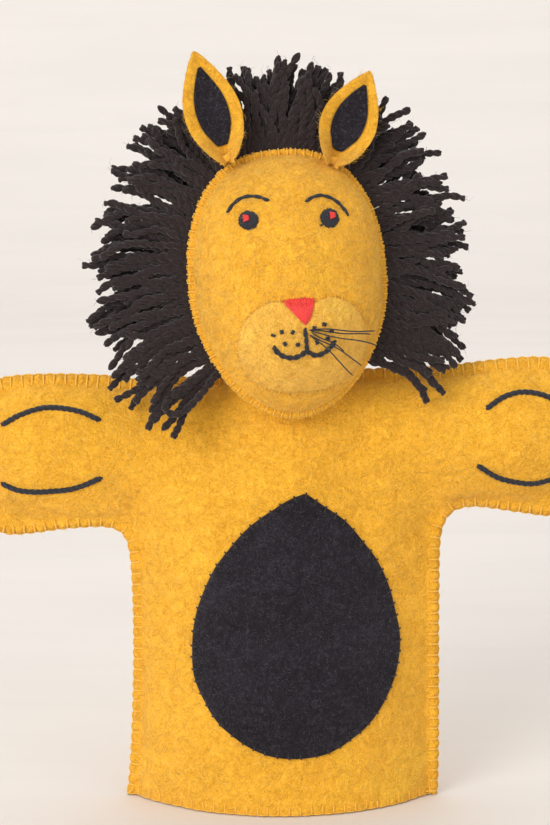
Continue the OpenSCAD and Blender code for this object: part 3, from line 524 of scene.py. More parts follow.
# y of the outer face at the flat points, with the margin, the pull of each stitch and the rounded cut edge
def gloveFace(points, side):
    away, which = nearRim(points)
    depth = gloveDepth(points[:, 0], points[:, 1], side)
    hem = onHem[which] & (points[:, 1] < 30)
    marginPull = np.where(hem | onNeck[which], 0, 1)
    flat = glove["felt"] + 0.05
    blendIn = np.clip((away - 2.2) / 3.2, 0, 1)
    blendIn = blendIn * blendIn * (3 - 2 * blendIn)
    depth = depth * (1 - marginPull) + marginPull * (flat + (depth - flat) * blendIn)
    beat = (rimAt[which] / glove["pitch"]) % 1
    dent = np.exp(-(beat * 3.2) ** 2) + np.exp(-((beat - 1) * 3.2) ** 2)
    dent = dent * np.exp(-(away / 2.9) ** 4) * np.where(onNeck[which], 0, 1)
    depth = depth - 0.42 * dent
    edge = np.clip(away / 1.3, 0, 1)
    depth = depth - (1 - np.sqrt(1 - (1 - edge) ** 2)) * np.where(onNeck[which] | hem, 0.5, 1.35)
    return depth


def gloveSheet():
    rings = []
    for inset, every in ((0.55, 1), (1.2, 1), (2.0, 1), (2.9, 2), (3.9, 2), (5.1, 3)):
        ring = (rim + rimIn * inset)[::every]
        d, _ = nearRim(ring)
        rings.append(ring[d > inset * 0.72])
    lowX, highX = rim[:, 0].min(), rim[:, 0].max()
    gx, gz = np.meshgrid(np.arange(lowX, highX, glove["grid"]), np.arange(0, rim[:, 1].max(), glove["grid"] * 0.87))
    gx = gx + (np.arange(gx.shape[0]) % 2)[:, None] * glove["grid"] / 2
    grid = np.stack([gx.ravel(), gz.ravel()], 1) + rng.uniform(-0.16, 0.16, (gx.size, 2))
    d, which = nearRim(grid)
    inside = ((grid - rim[which]) * rimIn[which]).sum(1) > 0
    grid = grid[inside & (d > 6.1)]
    flat = np.concatenate([scalloped] + rings + [grid])
    n = len(scalloped)
    edges = [(i, (i + 1) % n) for i in range(n)]
    out = delaunay_2d_cdt([Vector(p) for p in flat], edges, [], 1, 1e-5)
    return np.array([tuple(v) for v in out[0]]), np.array([f for f in out[2] if len(f) == 3])


flatVerts, flatFaces = gloveSheet()
print("glove sheet", len(flatVerts), len(flatFaces))

# where the arms fold: direction across each fold, then the body's and the paw's stretch of felt that bends
fold = {"lift": (liftX - 9, liftX + 5.5), "swing": (liftX + 6.5, swingX + 10), "slant": 0.29}


# Point on the arm line at distance at from the middle, and the direction across the fold
def foldLine(sx, at):
    way = unit(np.array([sx * 1.0, 0, fold["slant"]]))
    return np.array([sx * at, 0, armLineZ + sx * at * math.tan(math.radians(2.1))]), way


# How far points are along the direction across the fold, as a distance from the middle on the arm line
def foldAt(points, sx):
    origin, way = foldLine(sx, 0)
    return ((np.asarray(points) - origin) @ way) / way[0] * sx


# 0 for the body, -1 and 1 for the lifting felt, -2 and 2 for the paws
def zoneOf(points):
    zone = np.zeros(len(points), int)
    for sx in (-1, 1):
        t = foldAt(points, sx)
        zone[t > fold["lift"][0] - 0.4] = sx
        zone[t > (fold["lift"][1] + fold["swing"][0]) / 2] = 2 * sx
    return zone


# Rides on the body, or stays where it is, unattached, for felt across one arm's fold
def hangOn(thing, zone):
    if zone == 0:
        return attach(thing, "torso")
    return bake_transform(thing)


# The same for a piece that stands for a node
def hangAs(thing, zone, node):
    hangOn(thing, zone)
    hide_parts(node)


zoneNames = {0: "Body", -1: "LeftArm", 1: "RightArm", -2: "LeftPaw", 2: "RightPaw"}
gloveFlats = {}                                             # width, length and area of each piece of felt as cut
zoneNodes = {0: "torso", -1: "left_arm", 1: "right_arm", -2: "left_paw", 2: "right_paw"}


# True inside the neckline: a scoop under the chin in front, and level behind
def neckCut(points, side):
    if side > 0:
        return (np.abs(points[:, 0]) < 21) & (points[:, 1] > 155)
    return (points[:, 0] - 3.6) ** 2 + (points[:, 1] - 177.4 * tall) ** 2 < 31.6 ** 2


def makeGlove(side):
    depth = gloveFace(flatVerts, side)
    outer = np.stack([flatVerts[:, 0], side * depth, flatVerts[:, 1]], 1)
    outer[:, 2] = np.maximum(outer[:, 2], 0.02)
    away, which = nearRim(flatVerts)
    thick = np.clip(glove["felt"] * 1.04, 0, depth - 0.06)
    shrink = 0.5 * np.exp(-away / 0.6) * np.where(onHem[which], 0, 1)
    innerFlat = flatVerts + rimIn[which] * shrink[:, None]
    inner = np.stack([innerFlat[:, 0], side * (depth - thick), innerFlat[:, 1]], 1)
    middle = outer[flatFaces].mean(1)
    keep = ~neckCut(flatVerts[flatFaces].mean(1), side)
    faces, zones = flatFaces[keep], zoneOf(middle[keep])
    normals = vertexNormals(outer, faces if side > 0 else faces[:, ::-1])
    label = "Front" if side < 0 else "Back"
    for zone, zoneName in zoneNames.items():
        own = faces[zones == zone]
        used, back = np.unique(own, return_inverse=True)
        own = back.reshape(-1, 3)
        n = len(used)
        verts = np.concatenate([outer[used], inner[used]])
        if side > 0:
            own = own[:, ::-1]
        own = own[:, ::-1]
        half = np.concatenate([own[:, [0, 1]], own[:, [1, 2]], own[:, [2, 0]]])
        seen = {tuple(e) for e in half.tolist()}
        wallFaces = []
        for a, b in seen:
            if (b, a) not in seen:
                wallFaces.append((b, a, a + n, b + n))
        allFaces = own.tolist() + (own[:, ::-1] + n).tolist() + wallFaces
        thing = newObject("glove" + label + zoneName, verts, allFaces, mustard)
        smoothNormals = np.concatenate([normals[used], -normals[used]])
        thing.data.normals_split_custom_set_from_vertices(smoothNormals.tolist())
        hangAs(thing, zone, f"{zoneNodes[zone]}_{label.lower()}_panel")
        cut = flatVerts[faces[zones == zone]]
        one, two = cut[:, 1] - cut[:, 0], cut[:, 2] - cut[:, 0]
        area = np.abs(one[:, 0] * two[:, 1] - one[:, 1] * two[:, 0]).sum() / 2
        gloveFlats[thing.name] = (*np.ptp(flatVerts[used], axis=0), area)


def vertexNormals(verts, faces):
    cross = np.cross(verts[faces[:, 1]] - verts[faces[:, 0]], verts[faces[:, 2]] - verts[faces[:, 0]])
    total = np.zeros_like(verts)
    for k in range(3):
        np.add.at(total, faces[:, k], cross)
    return unit(total)


makeGlove(-1)
makeGlove(1)
print("glove ready")


# Twisted yarn: plies wound round the path, reach from its middle
def addPlies(bag, path, reach, radius, pitch, plies=2):
    path = np.asarray(path, float)
    path = evenly(path, max(4, int(lengthOf(path) / pitch * 7)))
    side, other = framesAlong(path)
    s = np.linspace(0, lengthOf(path), len(path))
    for ply in range(plies):
        a = (2 * np.pi * (s / pitch + ply / plies))[:, None]
        addTube(bag, path + reach * (np.cos(a) * side + np.sin(a) * other), radius, 5, ends=0.6)


# A flat line of x and z, stood up at one depth y
def standing(line, y=0.0):
    return np.stack([line[:, 0], np.full(len(line), y), line[:, 1]], 1)


# Short curved fibres, three-sided and tapered, all at once
def addHairs(bag, roots, ways, lengths, radius, own, bend=0.5):
    n = len(roots)
    lengths = np.broadcast_to(lengths, (n,))[:, None]
    droop = unit(own.normal(size=(n, 3))) * bend
    a, b, c = roots, roots + unit(ways) * lengths * 0.5, roots + unit(unit(ways) + droop) * lengths
    across = unit(np.cross(ways, own.normal(size=(n, 3))))
    third = unit(np.cross(ways, across))
    rings = []
    for point, r in ((a, radius), (b, radius * 0.8), (c, radius * 0.3)):
        for k in range(3):
            t = 2 * np.pi * k / 3
            rings.append(point + r * (math.cos(t) * across + math.sin(t) * third))
    verts = np.stack(rings, 1).reshape(-1, 3)
    one = [(k + r, (k + 1) % 3 + r, (k + 1) % 3 + r + 3, k + r + 3) for r in (0, 3) for k in range(3)]
    faces = (np.array(one)[None] + np.arange(n)[:, None, None] * 9).reshape(-1, 4)
    addTo(bag, verts, faces)


def outerFace(points, side, lift=0.0):
    points = np.atleast_2d(np.asarray(points, float))
    return np.stack([points[:, 0], side * (gloveFace(points, side) + lift), points[:, 1]], 1)


def stitchNode(x, z, zone):
    if zone:
        return zoneNodes[zone] + "_stitches"
    side = "left" if x < 0 else "right"
    return side + ("_shoulder_stitches" if z > 130 * tall else "_side_stitches")


# Blanket stitches round the glove
stitchLook = {"reach": 2.9, "radius": 0.4, "purl": 0.3}
stitchBags = {}
total = rimAt[-1] + rimGap[-1]
marks = np.arange(0, total - glove["pitch"] * 0.5, glove["pitch"])
for k, at in enumerate(marks):
    i = int(np.abs(rimAt - at).argmin())
    if onNeck[i]:
        continue
    edge, inward = scalloped[i], rimIn[i] + rng.normal(0, 0.06, 2)
    size = stitchLook["reach"] + rng.normal(0, 0.16)
    later = np.arange(i, min(i + int(round(glove["pitch"] / edgeStep)) + 1, len(rim))) % len(rim)
    if onHem[i]:
        for side in (-1, 1):
            bag = stitchBags.setdefault(("front" if side < 0 else "back") + "_hem_stitches", (newBag(), 0))[0]
            up = np.array([[edge[0], size + 0.6], [edge[0], 2], [edge[0], 0.8]])
            out = outerFace(up, side, 0.12)
            inner = outerFace(up[::-1], side, -glove["felt"] - 0.15)
            under = (out[-1] + inner[0]) / 2 * [1, 1, 0] + [0, 0, 0.34]
            path = np.concatenate([outerFace(up[:1], side, -0.5), out, [under], inner])
            addTube(bag, smoothPath(path, 16), stitchLook["radius"] * 0.85)
            run = outerFace(np.stack([rim[later][:, 0], np.full(len(later), 0.75)], 1), side, 0.1)
            addTube(bag, run, stitchLook["purl"] * 0.8, ends=0.9)
        continue
    zone = int(zoneOf(np.array([[edge[0], 0, edge[1]]]))[0])
    bag = stitchBags.setdefault(stitchNode(edge[0], edge[1], zone), (newBag(), zone))[0]
    steps = np.array([size, size * 0.72, size * 0.4, 0.55, 0.1])
    flat = edge + inward * steps[:, None]
    front, back = outerFace(flat, -1, 0.14), outerFace(flat, 1, 0.14)
    front[:, 1] = np.minimum(front[:, 1], -1.6)
    back[:, 1] = np.maximum(back[:, 1], 1.6)
    tip = np.array([[edge[0] - rimIn[i][0] * 0.3, 0, edge[1] - rimIn[i][1] * 0.3]])
    sink = np.array([[0, 1.0, 0]])
    path = np.concatenate([front[:1] + sink, front, tip, back[::-1], back[:1] - sink])
    addTube(bag, smoothPath(path, 26), stitchLook["radius"])
    run = scalloped[later] - rimIn[later] * (0.16 + 0.06 * np.sin(np.linspace(0, np.pi, len(later))))[:, None]
    addTube(bag, standing(run, -0.25), stitchLook["purl"], ends=0.95)
for node, (bag, zone) in stitchBags.items():
    thing = fromBag(node + "Thread", bag, mustardThread)
    hangAs(thing, zone, node)
print("glove stitches ready")

# Toe lines
toes = {
    "left": [[(-64.6, 141.9), (-73, 145.2), (-84, 146.2), (-93, 143.8), (-100, 139.7)],
             [(-64.1, 121.4), (-74, 117.2), (-84.4, 115.9), (-93.5, 116.2), (-100.4, 118.5)]],
    "right": [[(72.6, 146.2), (79, 150.2), (86, 151.9), (94.5, 150.2), (100.8, 145.8)],
              [(69.7, 125.7), (78, 120.6), (88.3, 118.5), (95.1, 119.5), (101.5, 122)]],
    "radius": 0.6, "reach": 0.52, "pitch": 6.5,
}
for name, zone in (("left", -2), ("right", 2)):
    bag = newBag()
    for line in toes[name]:
        line = smoothPath(np.array(line) * [spread, tall], 40)
        path = outerFace(line, -1, 0.35)
        path[0, 1] += 1.6
        path[-1, 1] += 1.6
        addPlies(bag, path, toes["reach"], toes["radius"], toes["pitch"], plies=3)
    thing = fromBag(name + "ToeLines", bag, blackThread)
    hangAs(thing, zone, name + "_toe_lines")

# Tummy patch
patch = {"x": 3, "z": 21.3, "width": 74.5, "height": 95.5, "lean": 3.0, "thick": 1.45, "grid": 1.6,
         "stitches": 58, "strays": 420}


def patchOutline(count):
    half, low = patch["width"] / 2, patch["width"] / 2
    r = (half ** 2 + (patch["height"] - low) ** 2) / patch["width"]
    a = np.linspace(180, 360, 90)[:-1]
    under = np.stack([half * np.cos(np.radians(a)), low * (1 + np.sin(np.radians(a)))], 1)
    top = math.asin((patch["height"] - low) / r)
    t = np.linspace(0, top, 40)
    right = np.stack([r * np.cos(t) - r + half, low + r * np.sin(t)], 1)
    left = (right * [-1, 1])[::-1]
    line = np.concatenate([under, right, left[1:]])
    line = evenly(np.concatenate([line, line[:1]]), count + 1)[:-1]
    turn = math.radians(patch["lean"])
    x = patch["x"] + line[:, 0] * math.cos(turn) + line[:, 1] * math.sin(turn)
    z = patch["z"] + line[:, 1] * math.cos(turn) - line[:, 0] * math.sin(turn)
    return np.stack([x * spread, z * tall], 1)


# True where points lie within the closed outline
def insideOf(points, outline):
    a, b = outline, np.roll(outline, -1, 0)
    x, z = points[:, :1], points[:, 1:]
    crosses = (a[:, 1] > z) != (b[:, 1] > z)
    rise = np.where(np.abs(b[:, 1] - a[:, 1]) < 1e-9, 1e-9, b[:, 1] - a[:, 1])
    at = a[:, 0] + (z - a[:, 1]) * (b[:, 0] - a[:, 0]) / rise
    return (crosses & (x < at)).sum(1) % 2 == 1


# Flat felt laid on a surface, with a rounded cut edge. surface(points) gives points on the felt below
def feltPatch(name, outline, grid, thick, surface, material, seed, puff=0.0):
    own = np.random.default_rng(seed)
    inward = unit(np.roll(outline, -1, 0) - np.roll(outline, 1, 0))
    inward = np.stack([-inward[:, 1], inward[:, 0]], 1)
    if insideOf((outline + inward * 0.4)[:6], outline).mean() < 0.5:
        inward = -inward
    low, high = outline.min(0), outline.max(0)
    gx, gz = np.meshgrid(np.arange(low[0], high[0], grid), np.arange(low[1], high[1], grid))
    inner = np.stack([gx.ravel(), gz.ravel()], 1) + own.uniform(-0.2, 0.2, (gx.size, 2)) * grid
    away = np.sqrt(((inner[:, None] - outline[None]) ** 2).sum(-1)).min(1)
    inner = inner[insideOf(inner, outline) & (away > 1.9)]
    rings = [outline, outline + inward * 0.3, outline + inward * 0.8, outline + inward * 1.5]
    flat = np.concatenate(rings + [inner])
    n = len(outline)
    out = delaunay_2d_cdt([Vector(p) for p in flat], [(i, (i + 1) % n) for i in range(n)], [], 1, 1e-5)
    flat = np.array([tuple(v) for v in out[0]])
    faces = np.array([f for f in out[2] if len(f) == 3])
    away = np.sqrt(((flat[:, None] - outline[None]) ** 2).sum(-1)).min(1)
    below = surface(flat)
    edge = np.clip(away / 0.9, 0, 1)
    rise = thick * (0.35 + 0.65 * np.sqrt(1 - (1 - edge) ** 2)) + puff * np.clip(away / 9, 0, 1) ** 0.7
    rise = rise + 0.12 * softNoise(flat[:, 0], flat[:, 1], 9, seed) * edge
    way = np.array([0, -1.0, 0])
    outer, under = below + way * (rise + 0.06)[:, None], below + way * 0.06
    count = len(flat)
    triangle = outer[faces]
    facing = np.cross(triangle[:, 1] - triangle[:, 0], triangle[:, 2] - triangle[:, 0])[:, 1]
    faces[facing > 0] = faces[facing > 0][:, ::-1]
    half = [(int(f[i]), int(f[(i + 1) % 3])) for f in faces for i in range(3)]
    seen = set(half)
    walls = [(b, a, a + count, b + count) for a, b in half if (b, a) not in seen]
    allFaces = faces.tolist() + (faces[:, ::-1] + count).tolist() + walls
    return newObject(name, np.concatenate([outer, under]), allFaces, material), inward


patchEdge = patchOutline(240)
uneven = [softNoise(patchEdge[:, 0], patchEdge[:, 1], 16, seed) for seed in (3, 4)]
patchEdge = patchEdge + np.stack(uneven, 1) * 0.35
patchThing, patchIn = feltPatch("tummyPatch", patchEdge, patch["grid"], patch["thick"],
                                lambda p: outerFace(p, -1), charcoal, 21)
wear(patchThing, "torso", "tummy_patch")
bag = newBag()
for k in range(patch["stitches"]):
    i = int(k * len(patchEdge) / patch["stitches"])
    p, inward = patchEdge[i], patchIn[i]
    lean = np.array([-inward[1], inward[0]]) * rng.normal(0.35, 0.15)
    flat = np.array([p + inward * 2.1 + lean, p + inward * 1.2 + lean * 0.6, p + inward * 0.2,
                     p - inward * 0.25, p - inward * 0.5])
    path = outerFace(flat, -1)
    path[:, 1] -= np.array([patch["thick"] - 0.5, patch["thick"] + 0.12, patch["thick"] * 0.75, 0.3, -0.5])
    addTube(bag, smoothPath(path, 12), 0.34, 5)
wear(fromBag("tummyPatchStitches", bag, charcoalThread), "torso", "tummy_patch_stitches")
bag = newBag()
low, high = patchEdge.min(0), patchEdge.max(0)
roots = rng.uniform(low, high, (patch["strays"] * 2, 2))
roots = roots[insideOf(roots, patchEdge)][:patch["strays"]]
base = outerFace(roots, -1)
base[:, 1] -= patch["thick"]
way = rng.normal(size=(len(base), 3))
way[:, 1] = -np.abs(way[:, 1]) * 0.35 - 0.12
addHairs(bag, base, way, rng.uniform(1.2, 4.0, len(base)), 0.036, rng, 1.3)
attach(fromBag("tummyPatchHairs", bag, greyFuzz), "torso")
print("tummy patch ready")

# Head: shape
head = {
    "halfW": 35, "halfH": 47, "browPower": 2.4, "chinPower": 1.85, "flange": 2.2, "face": 25, "nape": 33, "felt": 2.0,
    "tilt": 4.4, "lean": 4, "yaw": 7, "pitch": 3.05, "scallop": 0.55, "rings": 46, "stitch": 0.34,
}


def axisTurn(axis, degrees):
    return np.array(Matrix.Rotation(math.radians(degrees), 3, axis))


headTurn = axisTurn("Y", -head["tilt"]) @ axisTurn("X", -head["lean"]) @ axisTurn("Z", head["yaw"])


def seamPoint(a, inset=0.0):
    c, s = np.cos(a), np.sin(a)
    p = np.where(s > 0, head["browPower"], head["chinPower"])
    k = (np.abs(c) ** p + np.abs(s) ** p) ** (-1 / p)
    return np.stack([(head["halfW"] - inset) * k * c, (head["halfH"] - inset) * k * s], -1)


seamRing = seamPoint(np.linspace(0, 2 * np.pi, 721)[:-1])
turned = standing(seamRing) @ headTurn.T
headAt = headMid - (turned.min(0) + turned.max(0)) / 2


def onHead(points):
    return np.asarray(points, float) @ headTurn.T + headAt


# Share of the way from the middle of the face to its fold
def faceShare(x, z):
    edge = seamPoint(np.arctan2(z, x), head["flange"])
    return np.hypot(x, z) / np.linalg.norm(edge, axis=-1)


# shallow places and swells of the face: x, z, height, width across, width up
swells = [
    (-13.5, 23.0, -0.9, 6, 5), (13.4, 21.6, -0.9, 6, 5), (-21, -4, 0.9, 9, 12), (23, -5, 0.8, 8, 12),
    (0, 6, 0.6, 7, 10), (1.5, -36, -0.7, 14, 4), (-11, 34, 0.5, 9, 5), (10, 35, 0.4, 9, 5), (-26, 12, -0.5, 5, 8),
]


def faceHeight(x, z):
    rho = np.clip(faceShare(x, z), 0, 1)
    bulge = (1 - rho ** 2) ** 0.62
    y = head["face"] * bulge + head["felt"]
    for sx, sz, high, wide, tallness in swells:
        y = y + high * np.exp(-((x - sx) / wide) ** 2 - ((z - sz) / tallness) ** 2)
    y = y + (0.42 * softNoise(x, z, 17, 31) + 0.12 * softNoise(x, z, 6, 32)) * np.clip(bulge * 3, 0, 1)
    return y


def napeHeight(x, z):
    rho = np.clip(faceShare(x, z), 0, 1)
    bulge = (1 - rho ** 2) ** 0.62
    return head["nape"] * bulge + head["felt"] + 0.5 * softNoise(x, z, 20, 41) * np.clip(bulge * 3, 0, 1)


# Points on the face, in the head's own frame, at flat x and z
def faceAt(points, lift=0.0):
    points = np.atleast_2d(np.asarray(points, float))
    return np.stack([points[:, 0], -(faceHeight(points[:, 0], points[:, 1]) + lift), points[:, 1]], 1)


seamFine = seamPoint(np.linspace(0, 2 * np.pi, 2881))
seamLength = lengthOf(seamFine)
seamStitches = int(round(seamLength / head["pitch"]))
spokes = seamStitches * 4
seamEven = evenly(seamFine, spokes + 1)[:-1]
seamAngle = np.arctan2(seamEven[:, 1], seamEven[:, 0])
seamOut = unit(np.roll(seamEven, -1, 0) - np.roll(seamEven, 1, 0))
seamOut = np.stack([seamOut[:, 1], -seamOut[:, 0]], 1)
seamPull = 1 - np.abs(np.sin(np.pi * np.arange(spokes) / 4)) ** 0.8


# Domed felt with a flat sewn flange, from the middle out to the scalloped edge and back along its inside
def headSkin(name, side, height, material):
    fold = seamPoint(seamAngle, head["flange"])
    rows, inner = [], []
    angles = np.linspace(0, np.pi / 2, head["rings"] + 1)[1:]
    for k, t in enumerate(angles):
        flat = fold * math.sin(t)
        y = height(flat[:, 0], flat[:, 1])
        late = max(0, (t - 1.0) / 0.57)
        y = y - 0.4 * seamPull * late ** 2                     # each stitch gathers the felt a little
        rows.append(np.stack([flat[:, 0], side * y, flat[:, 1]], 1))
    for inset, drop in ((1.9, 0.0), (1.2, 0.02), (0.55, 0.12), (0.12, 0.55), (0.0, 1.2), (0.06, 1.9)):
        flat = seamEven - seamOut * (inset + head["scallop"] * seamPull)[:, None]
        thick = head["felt"] - drop - 0.35 * seamPull * math.exp(-((inset - 1.3) / 1.2) ** 2)
        rows.append(np.stack([flat[:, 0], side * np.maximum(0.05, thick), flat[:, 1]], 1))
    for share in (1.0, 0.93, 0.8, 0.6, 0.35):
        flat = fold * share * 0.985
        y = np.maximum(0.04, height(flat[:, 0], flat[:, 1]) - head["felt"])
        inner.append(np.stack([flat[:, 0], side * (y if share < 1 else 0 * y + 0.05), flat[:, 1]], 1))
    top = np.array([[0, side * float(height(np.array([0.0]), np.array([0.0]))[0]), 0]])
    bottom = top - [[0, side * head["felt"], 0]]
    verts = np.concatenate([top] + rows + inner + [bottom])
    k = np.arange(spokes)
    after = (k + 1) % spokes
    faces = [tuple(f) for f in np.stack([0 * k, 1 + k, 1 + after], 1)]
    for r in range(len(rows) + len(inner) - 1):
        a, b = 1 + r * spokes + k, 1 + r * spokes + after
        faces += [tuple(f) for f in np.stack([a, a + spokes, b + spokes, b], 1)]
    last = 1 + (len(rows) + len(inner) - 1) * spokes
    faces += [tuple(f) for f in np.stack([last + k, 0 * k + len(verts) - 1, last + after], 1)]
    if side > 0:
        faces = [f[::-1] for f in faces]
    return newObject(name, onHead(verts), faces, material)


wear(headSkin("faceFelt", -1, faceHeight, mustard), "head", "face_panel")
wear(headSkin("napeFelt", 1, napeHeight, mustard), "head", "nape_panel")

bag = newBag()
for k in range(seamStitches):
    i = k * 4
    p, out = seamEven[i], seamOut[i]
    size = head["flange"] + 0.5 + rng.normal(0, 0.15)
    lean = np.array([-out[1], out[0]]) * rng.normal(0, 0.14)
    edge = p - out * head["scallop"]
    path = [[*(edge - out * size + lean), 3.4], [*(edge - out * (size - 0.35) + lean), 3.0],
            [*(edge - out * 1.5 + lean * 0.4), 2.25], [*(edge - out * 0.5), 2.1],
            [*(edge + out * 0.42), 1.0], [*(edge + out * 0.5), 0.0]]
    half = np.array([[x, -y, z] for x, z, y in path])
    half[0, 1] += 1.0
    whole = np.concatenate([half, (half * [1, -1, 1])[::-1][1:]])
    addTube(bag, onHead(smoothPath(whole, 22)), head["stitch"])
    later = (np.arange(i, i + 5)) % spokes
    run = seamEven[later] - seamOut[later] * (head["scallop"] * seamPull[later] - 0.15)[:, None]
    addTube(bag, onHead(standing(run, -0.1)), head["stitch"] * 0.8, ends=0.95)
wear(fromBag("headSeamThread", bag, mustardThread), "head", "head_seam_stitches")
print("head ready")

# Muzzle
muzzle = {"x": 1.6, "z": -20, "width": 45, "height": 34, "dip": 3.5, "thick": 1.35, "puff": 1.5,
          "stitches": 46, "grid": 1.1}


def muzzleOutline(count):
    a = np.linspace(0, 2 * np.pi, 361)[:-1]
    dip = muzzle["dip"] * np.exp(-((np.degrees(a) - 90) / 16) ** 2)
    x = muzzle["x"] + muzzle["width"] / 2 * np.abs(np.cos(a)) ** 0.85 * np.sign(np.cos(a))
    z = muzzle["z"] + (muzzle["height"] / 2 - dip) * np.abs(np.sin(a)) ** 0.9 * np.sign(np.sin(a))
    line = np.stack([x, z], 1)
    return evenly(np.concatenate([line, line[:1]]), count + 1)[:-1]


muzzleEdge = muzzleOutline(200)
muzzleThing, muzzleIn = feltPatch("muzzleFelt", muzzleEdge, muzzle["grid"], muzzle["thick"], faceAt, muzzleFelt, 51,
                                  muzzle["puff"])
coords = np.array([v.co for v in muzzleThing.data.vertices]) * 1000 - [0, seamY, 0]
muzzleThing.data.vertices.foreach_set("co", ((onHead(coords) + [0, seamY, 0]) * 0.001).ravel())
muzzleThing.data.update()
wear(muzzleThing, "head", "muzzle_patch")


# Points on the muzzle's front, or on the face where there is no muzzle, in the head's frame
def muzzleAt(points, lift=0.0):
    points = np.atleast_2d(np.asarray(points, float))
    away = np.sqrt(((points[:, None] - muzzleEdge[None]) ** 2).sum(-1)).min(1)
    away = away * np.where(insideOf(points, muzzleEdge), 1, 0)
    edge = np.clip(away / 0.9, 0, 1)
    rise = muzzle["thick"] * np.sqrt(1 - (1 - edge) ** 2) + muzzle["puff"] * np.clip(away / 9, 0, 1) ** 0.7
    return faceAt(points, 0) - np.stack([0 * rise, rise + lift, 0 * rise], 1)


bag = newBag()
for k in range(muzzle["stitches"]):
    i = int((k + 0.5) * len(muzzleEdge) / muzzle["stitches"])
    p, inward = muzzleEdge[i], muzzleIn[i]
    lean = np.array([-inward[1], inward[0]]) * rng.normal(0.4, 0.15)
    flat = np.array([p + inward * 1.9 + lean, p + inward * 1.1 + lean * 0.6, p + inward * 0.2,
                     p - inward * 0.6, p - inward * 1.1])
    path = faceAt(flat)
    path[:, 1] -= np.array([muzzle["thick"] * 0.7, muzzle["thick"] + 0.25, muzzle["thick"] * 0.7, 0.25, -0.5])
    addTube(bag, onHead(smoothPath(path, 12)), 0.27, 5)
wear(fromBag("muzzleStitches", bag, mustardThread), "head", "muzzle_stitches")

# Nose, mouth, dots and whiskers
nose = {"left": (-5.4, -4.4), "mid": (0.2, -3.6), "right": (5.2, -4.6), "foot": (1.6, -13.2),
        "threads": 15, "radius": 0.5}
bag = newBag()
for k in range(nose["threads"]):
    u = k / (nose["threads"] - 1)
    a, b, c = (np.array(nose[w]) for w in ("left", "mid", "right"))
    topEnd = a * (1 - u) ** 2 + 2 * b * u * (1 - u) + c * u * u + rng.normal(0, 0.12, 2)
    foot = np.array(nose["foot"]) + [(u - 0.5) * 2.4, abs(u - 0.5) * 3.4]
    line = topEnd + (foot - topEnd) * np.linspace(0, 1, 12)[:, None]
    rise = 0.35 + 0.65 * np.sin(np.linspace(0, np.pi, 12)) ** 0.6 * (0.6 + 0.4 * math.sin(np.pi * u))
    path = muzzleAt(line)
    path[:, 1] -= rise
    path[0, 1] += 0.7
    path[-1, 1] += 0.7
    addTube(bag, onHead(path), nose["radius"], ends=0.8)
wear(fromBag("noseThreads", bag, redThread), "head", "nose")

mouthZ = -22.5


# Twisted thread laid on the muzzle, its two ends through the felt
def sewnLine(bag, points, radius, reach, count):
    path = muzzleAt(smoothPath(np.array(points, float), count), 0.5)
    path[[0, -1], 1] += 1.2
    addPlies(bag, onHead(path), reach, radius, 5.0)


# the cleft, then the left and the right half of the smile, with heights from mouthZ
cleft = [(1.2, 8.4), (1.5, 4), (1.7, -0.2)]
smiles = [[(1.4, 0), (-2.2, -1.6), (-5.6, -1.2), (-8.4, 0.6), (-9.6, 2.8)],
          [(1.9, 0), (4.6, -1.5), (7.4, -0.9), (10, 0.9), (11.6, 2.9)]]
bag = newBag()
sewnLine(bag, np.array(cleft) + [0, mouthZ], 0.5, 0.36, 10)
for smile in smiles:
    sewnLine(bag, np.array(smile) + [0, mouthZ], 0.58, 0.45, 22)
wear(fromBag("mouthThreads", bag, blackThread), "head", "mouth")

dots = [(-9.6, 6.6), (-6.7, 7.6), (-3, 7.2), (-5.8, 3.4), (-1.4, 2.8),
        (4.4, 8), (8, 9), (10.4, 6.4), (9, 4), (5.2, 3)]
bag = newBag()
for x, z in dots:
    for k in range(3):
        a = rng.uniform(0, np.pi)
        half = np.array([math.cos(a), math.sin(a)]) * 0.8
        line = np.array([(x, mouthZ + z)]) + np.linspace(-1, 1, 7)[:, None] * half
        path = muzzleAt(line)
        path[:, 1] -= 0.15 + 0.6 * np.cos(np.linspace(-1.4, 1.4, 7))
        addTube(bag, onHead(path), 0.42)
wear(fromBag("whiskerDots", bag, blackThread), "head", "whisker_dots")

whiskerEnds = [(25, 5.2, 4.2), (23.6, 4, 3.4), (25, 0.4, 5.0), (14, -0.5, 3), (19.6, -5.6, 3.6), (16.4, -9, 3.2)]
bag = newBag()
for k, (x, z, out) in enumerate(whiskerEnds):
    start = np.array([2.4 + 0.35 * k % 1.2, mouthZ + 7.4 - 0.3 * k])
    u = np.linspace(0, 1, 24)
    line = start + (np.array([x, mouthZ + z]) - start) * u[:, None]
    line[:, 1] += 1.4 * u * (1 - u) + 0.35 * np.sin(u * 7 + k)
    path = muzzleAt(line)
    root = path[0, 1]
    away = np.minimum(path[:, 1] - 0.5, root - 0.7 - out * u * (1 - u / 2) + 1.2 * u)
    path[:, 1] = away
    path[0, 1] = root + 0.4
    addTube(bag, onHead(path), 0.24, 5, ends=0.5)
wear(fromBag("whiskerThreads", bag, blackThread), "head", "whiskers")

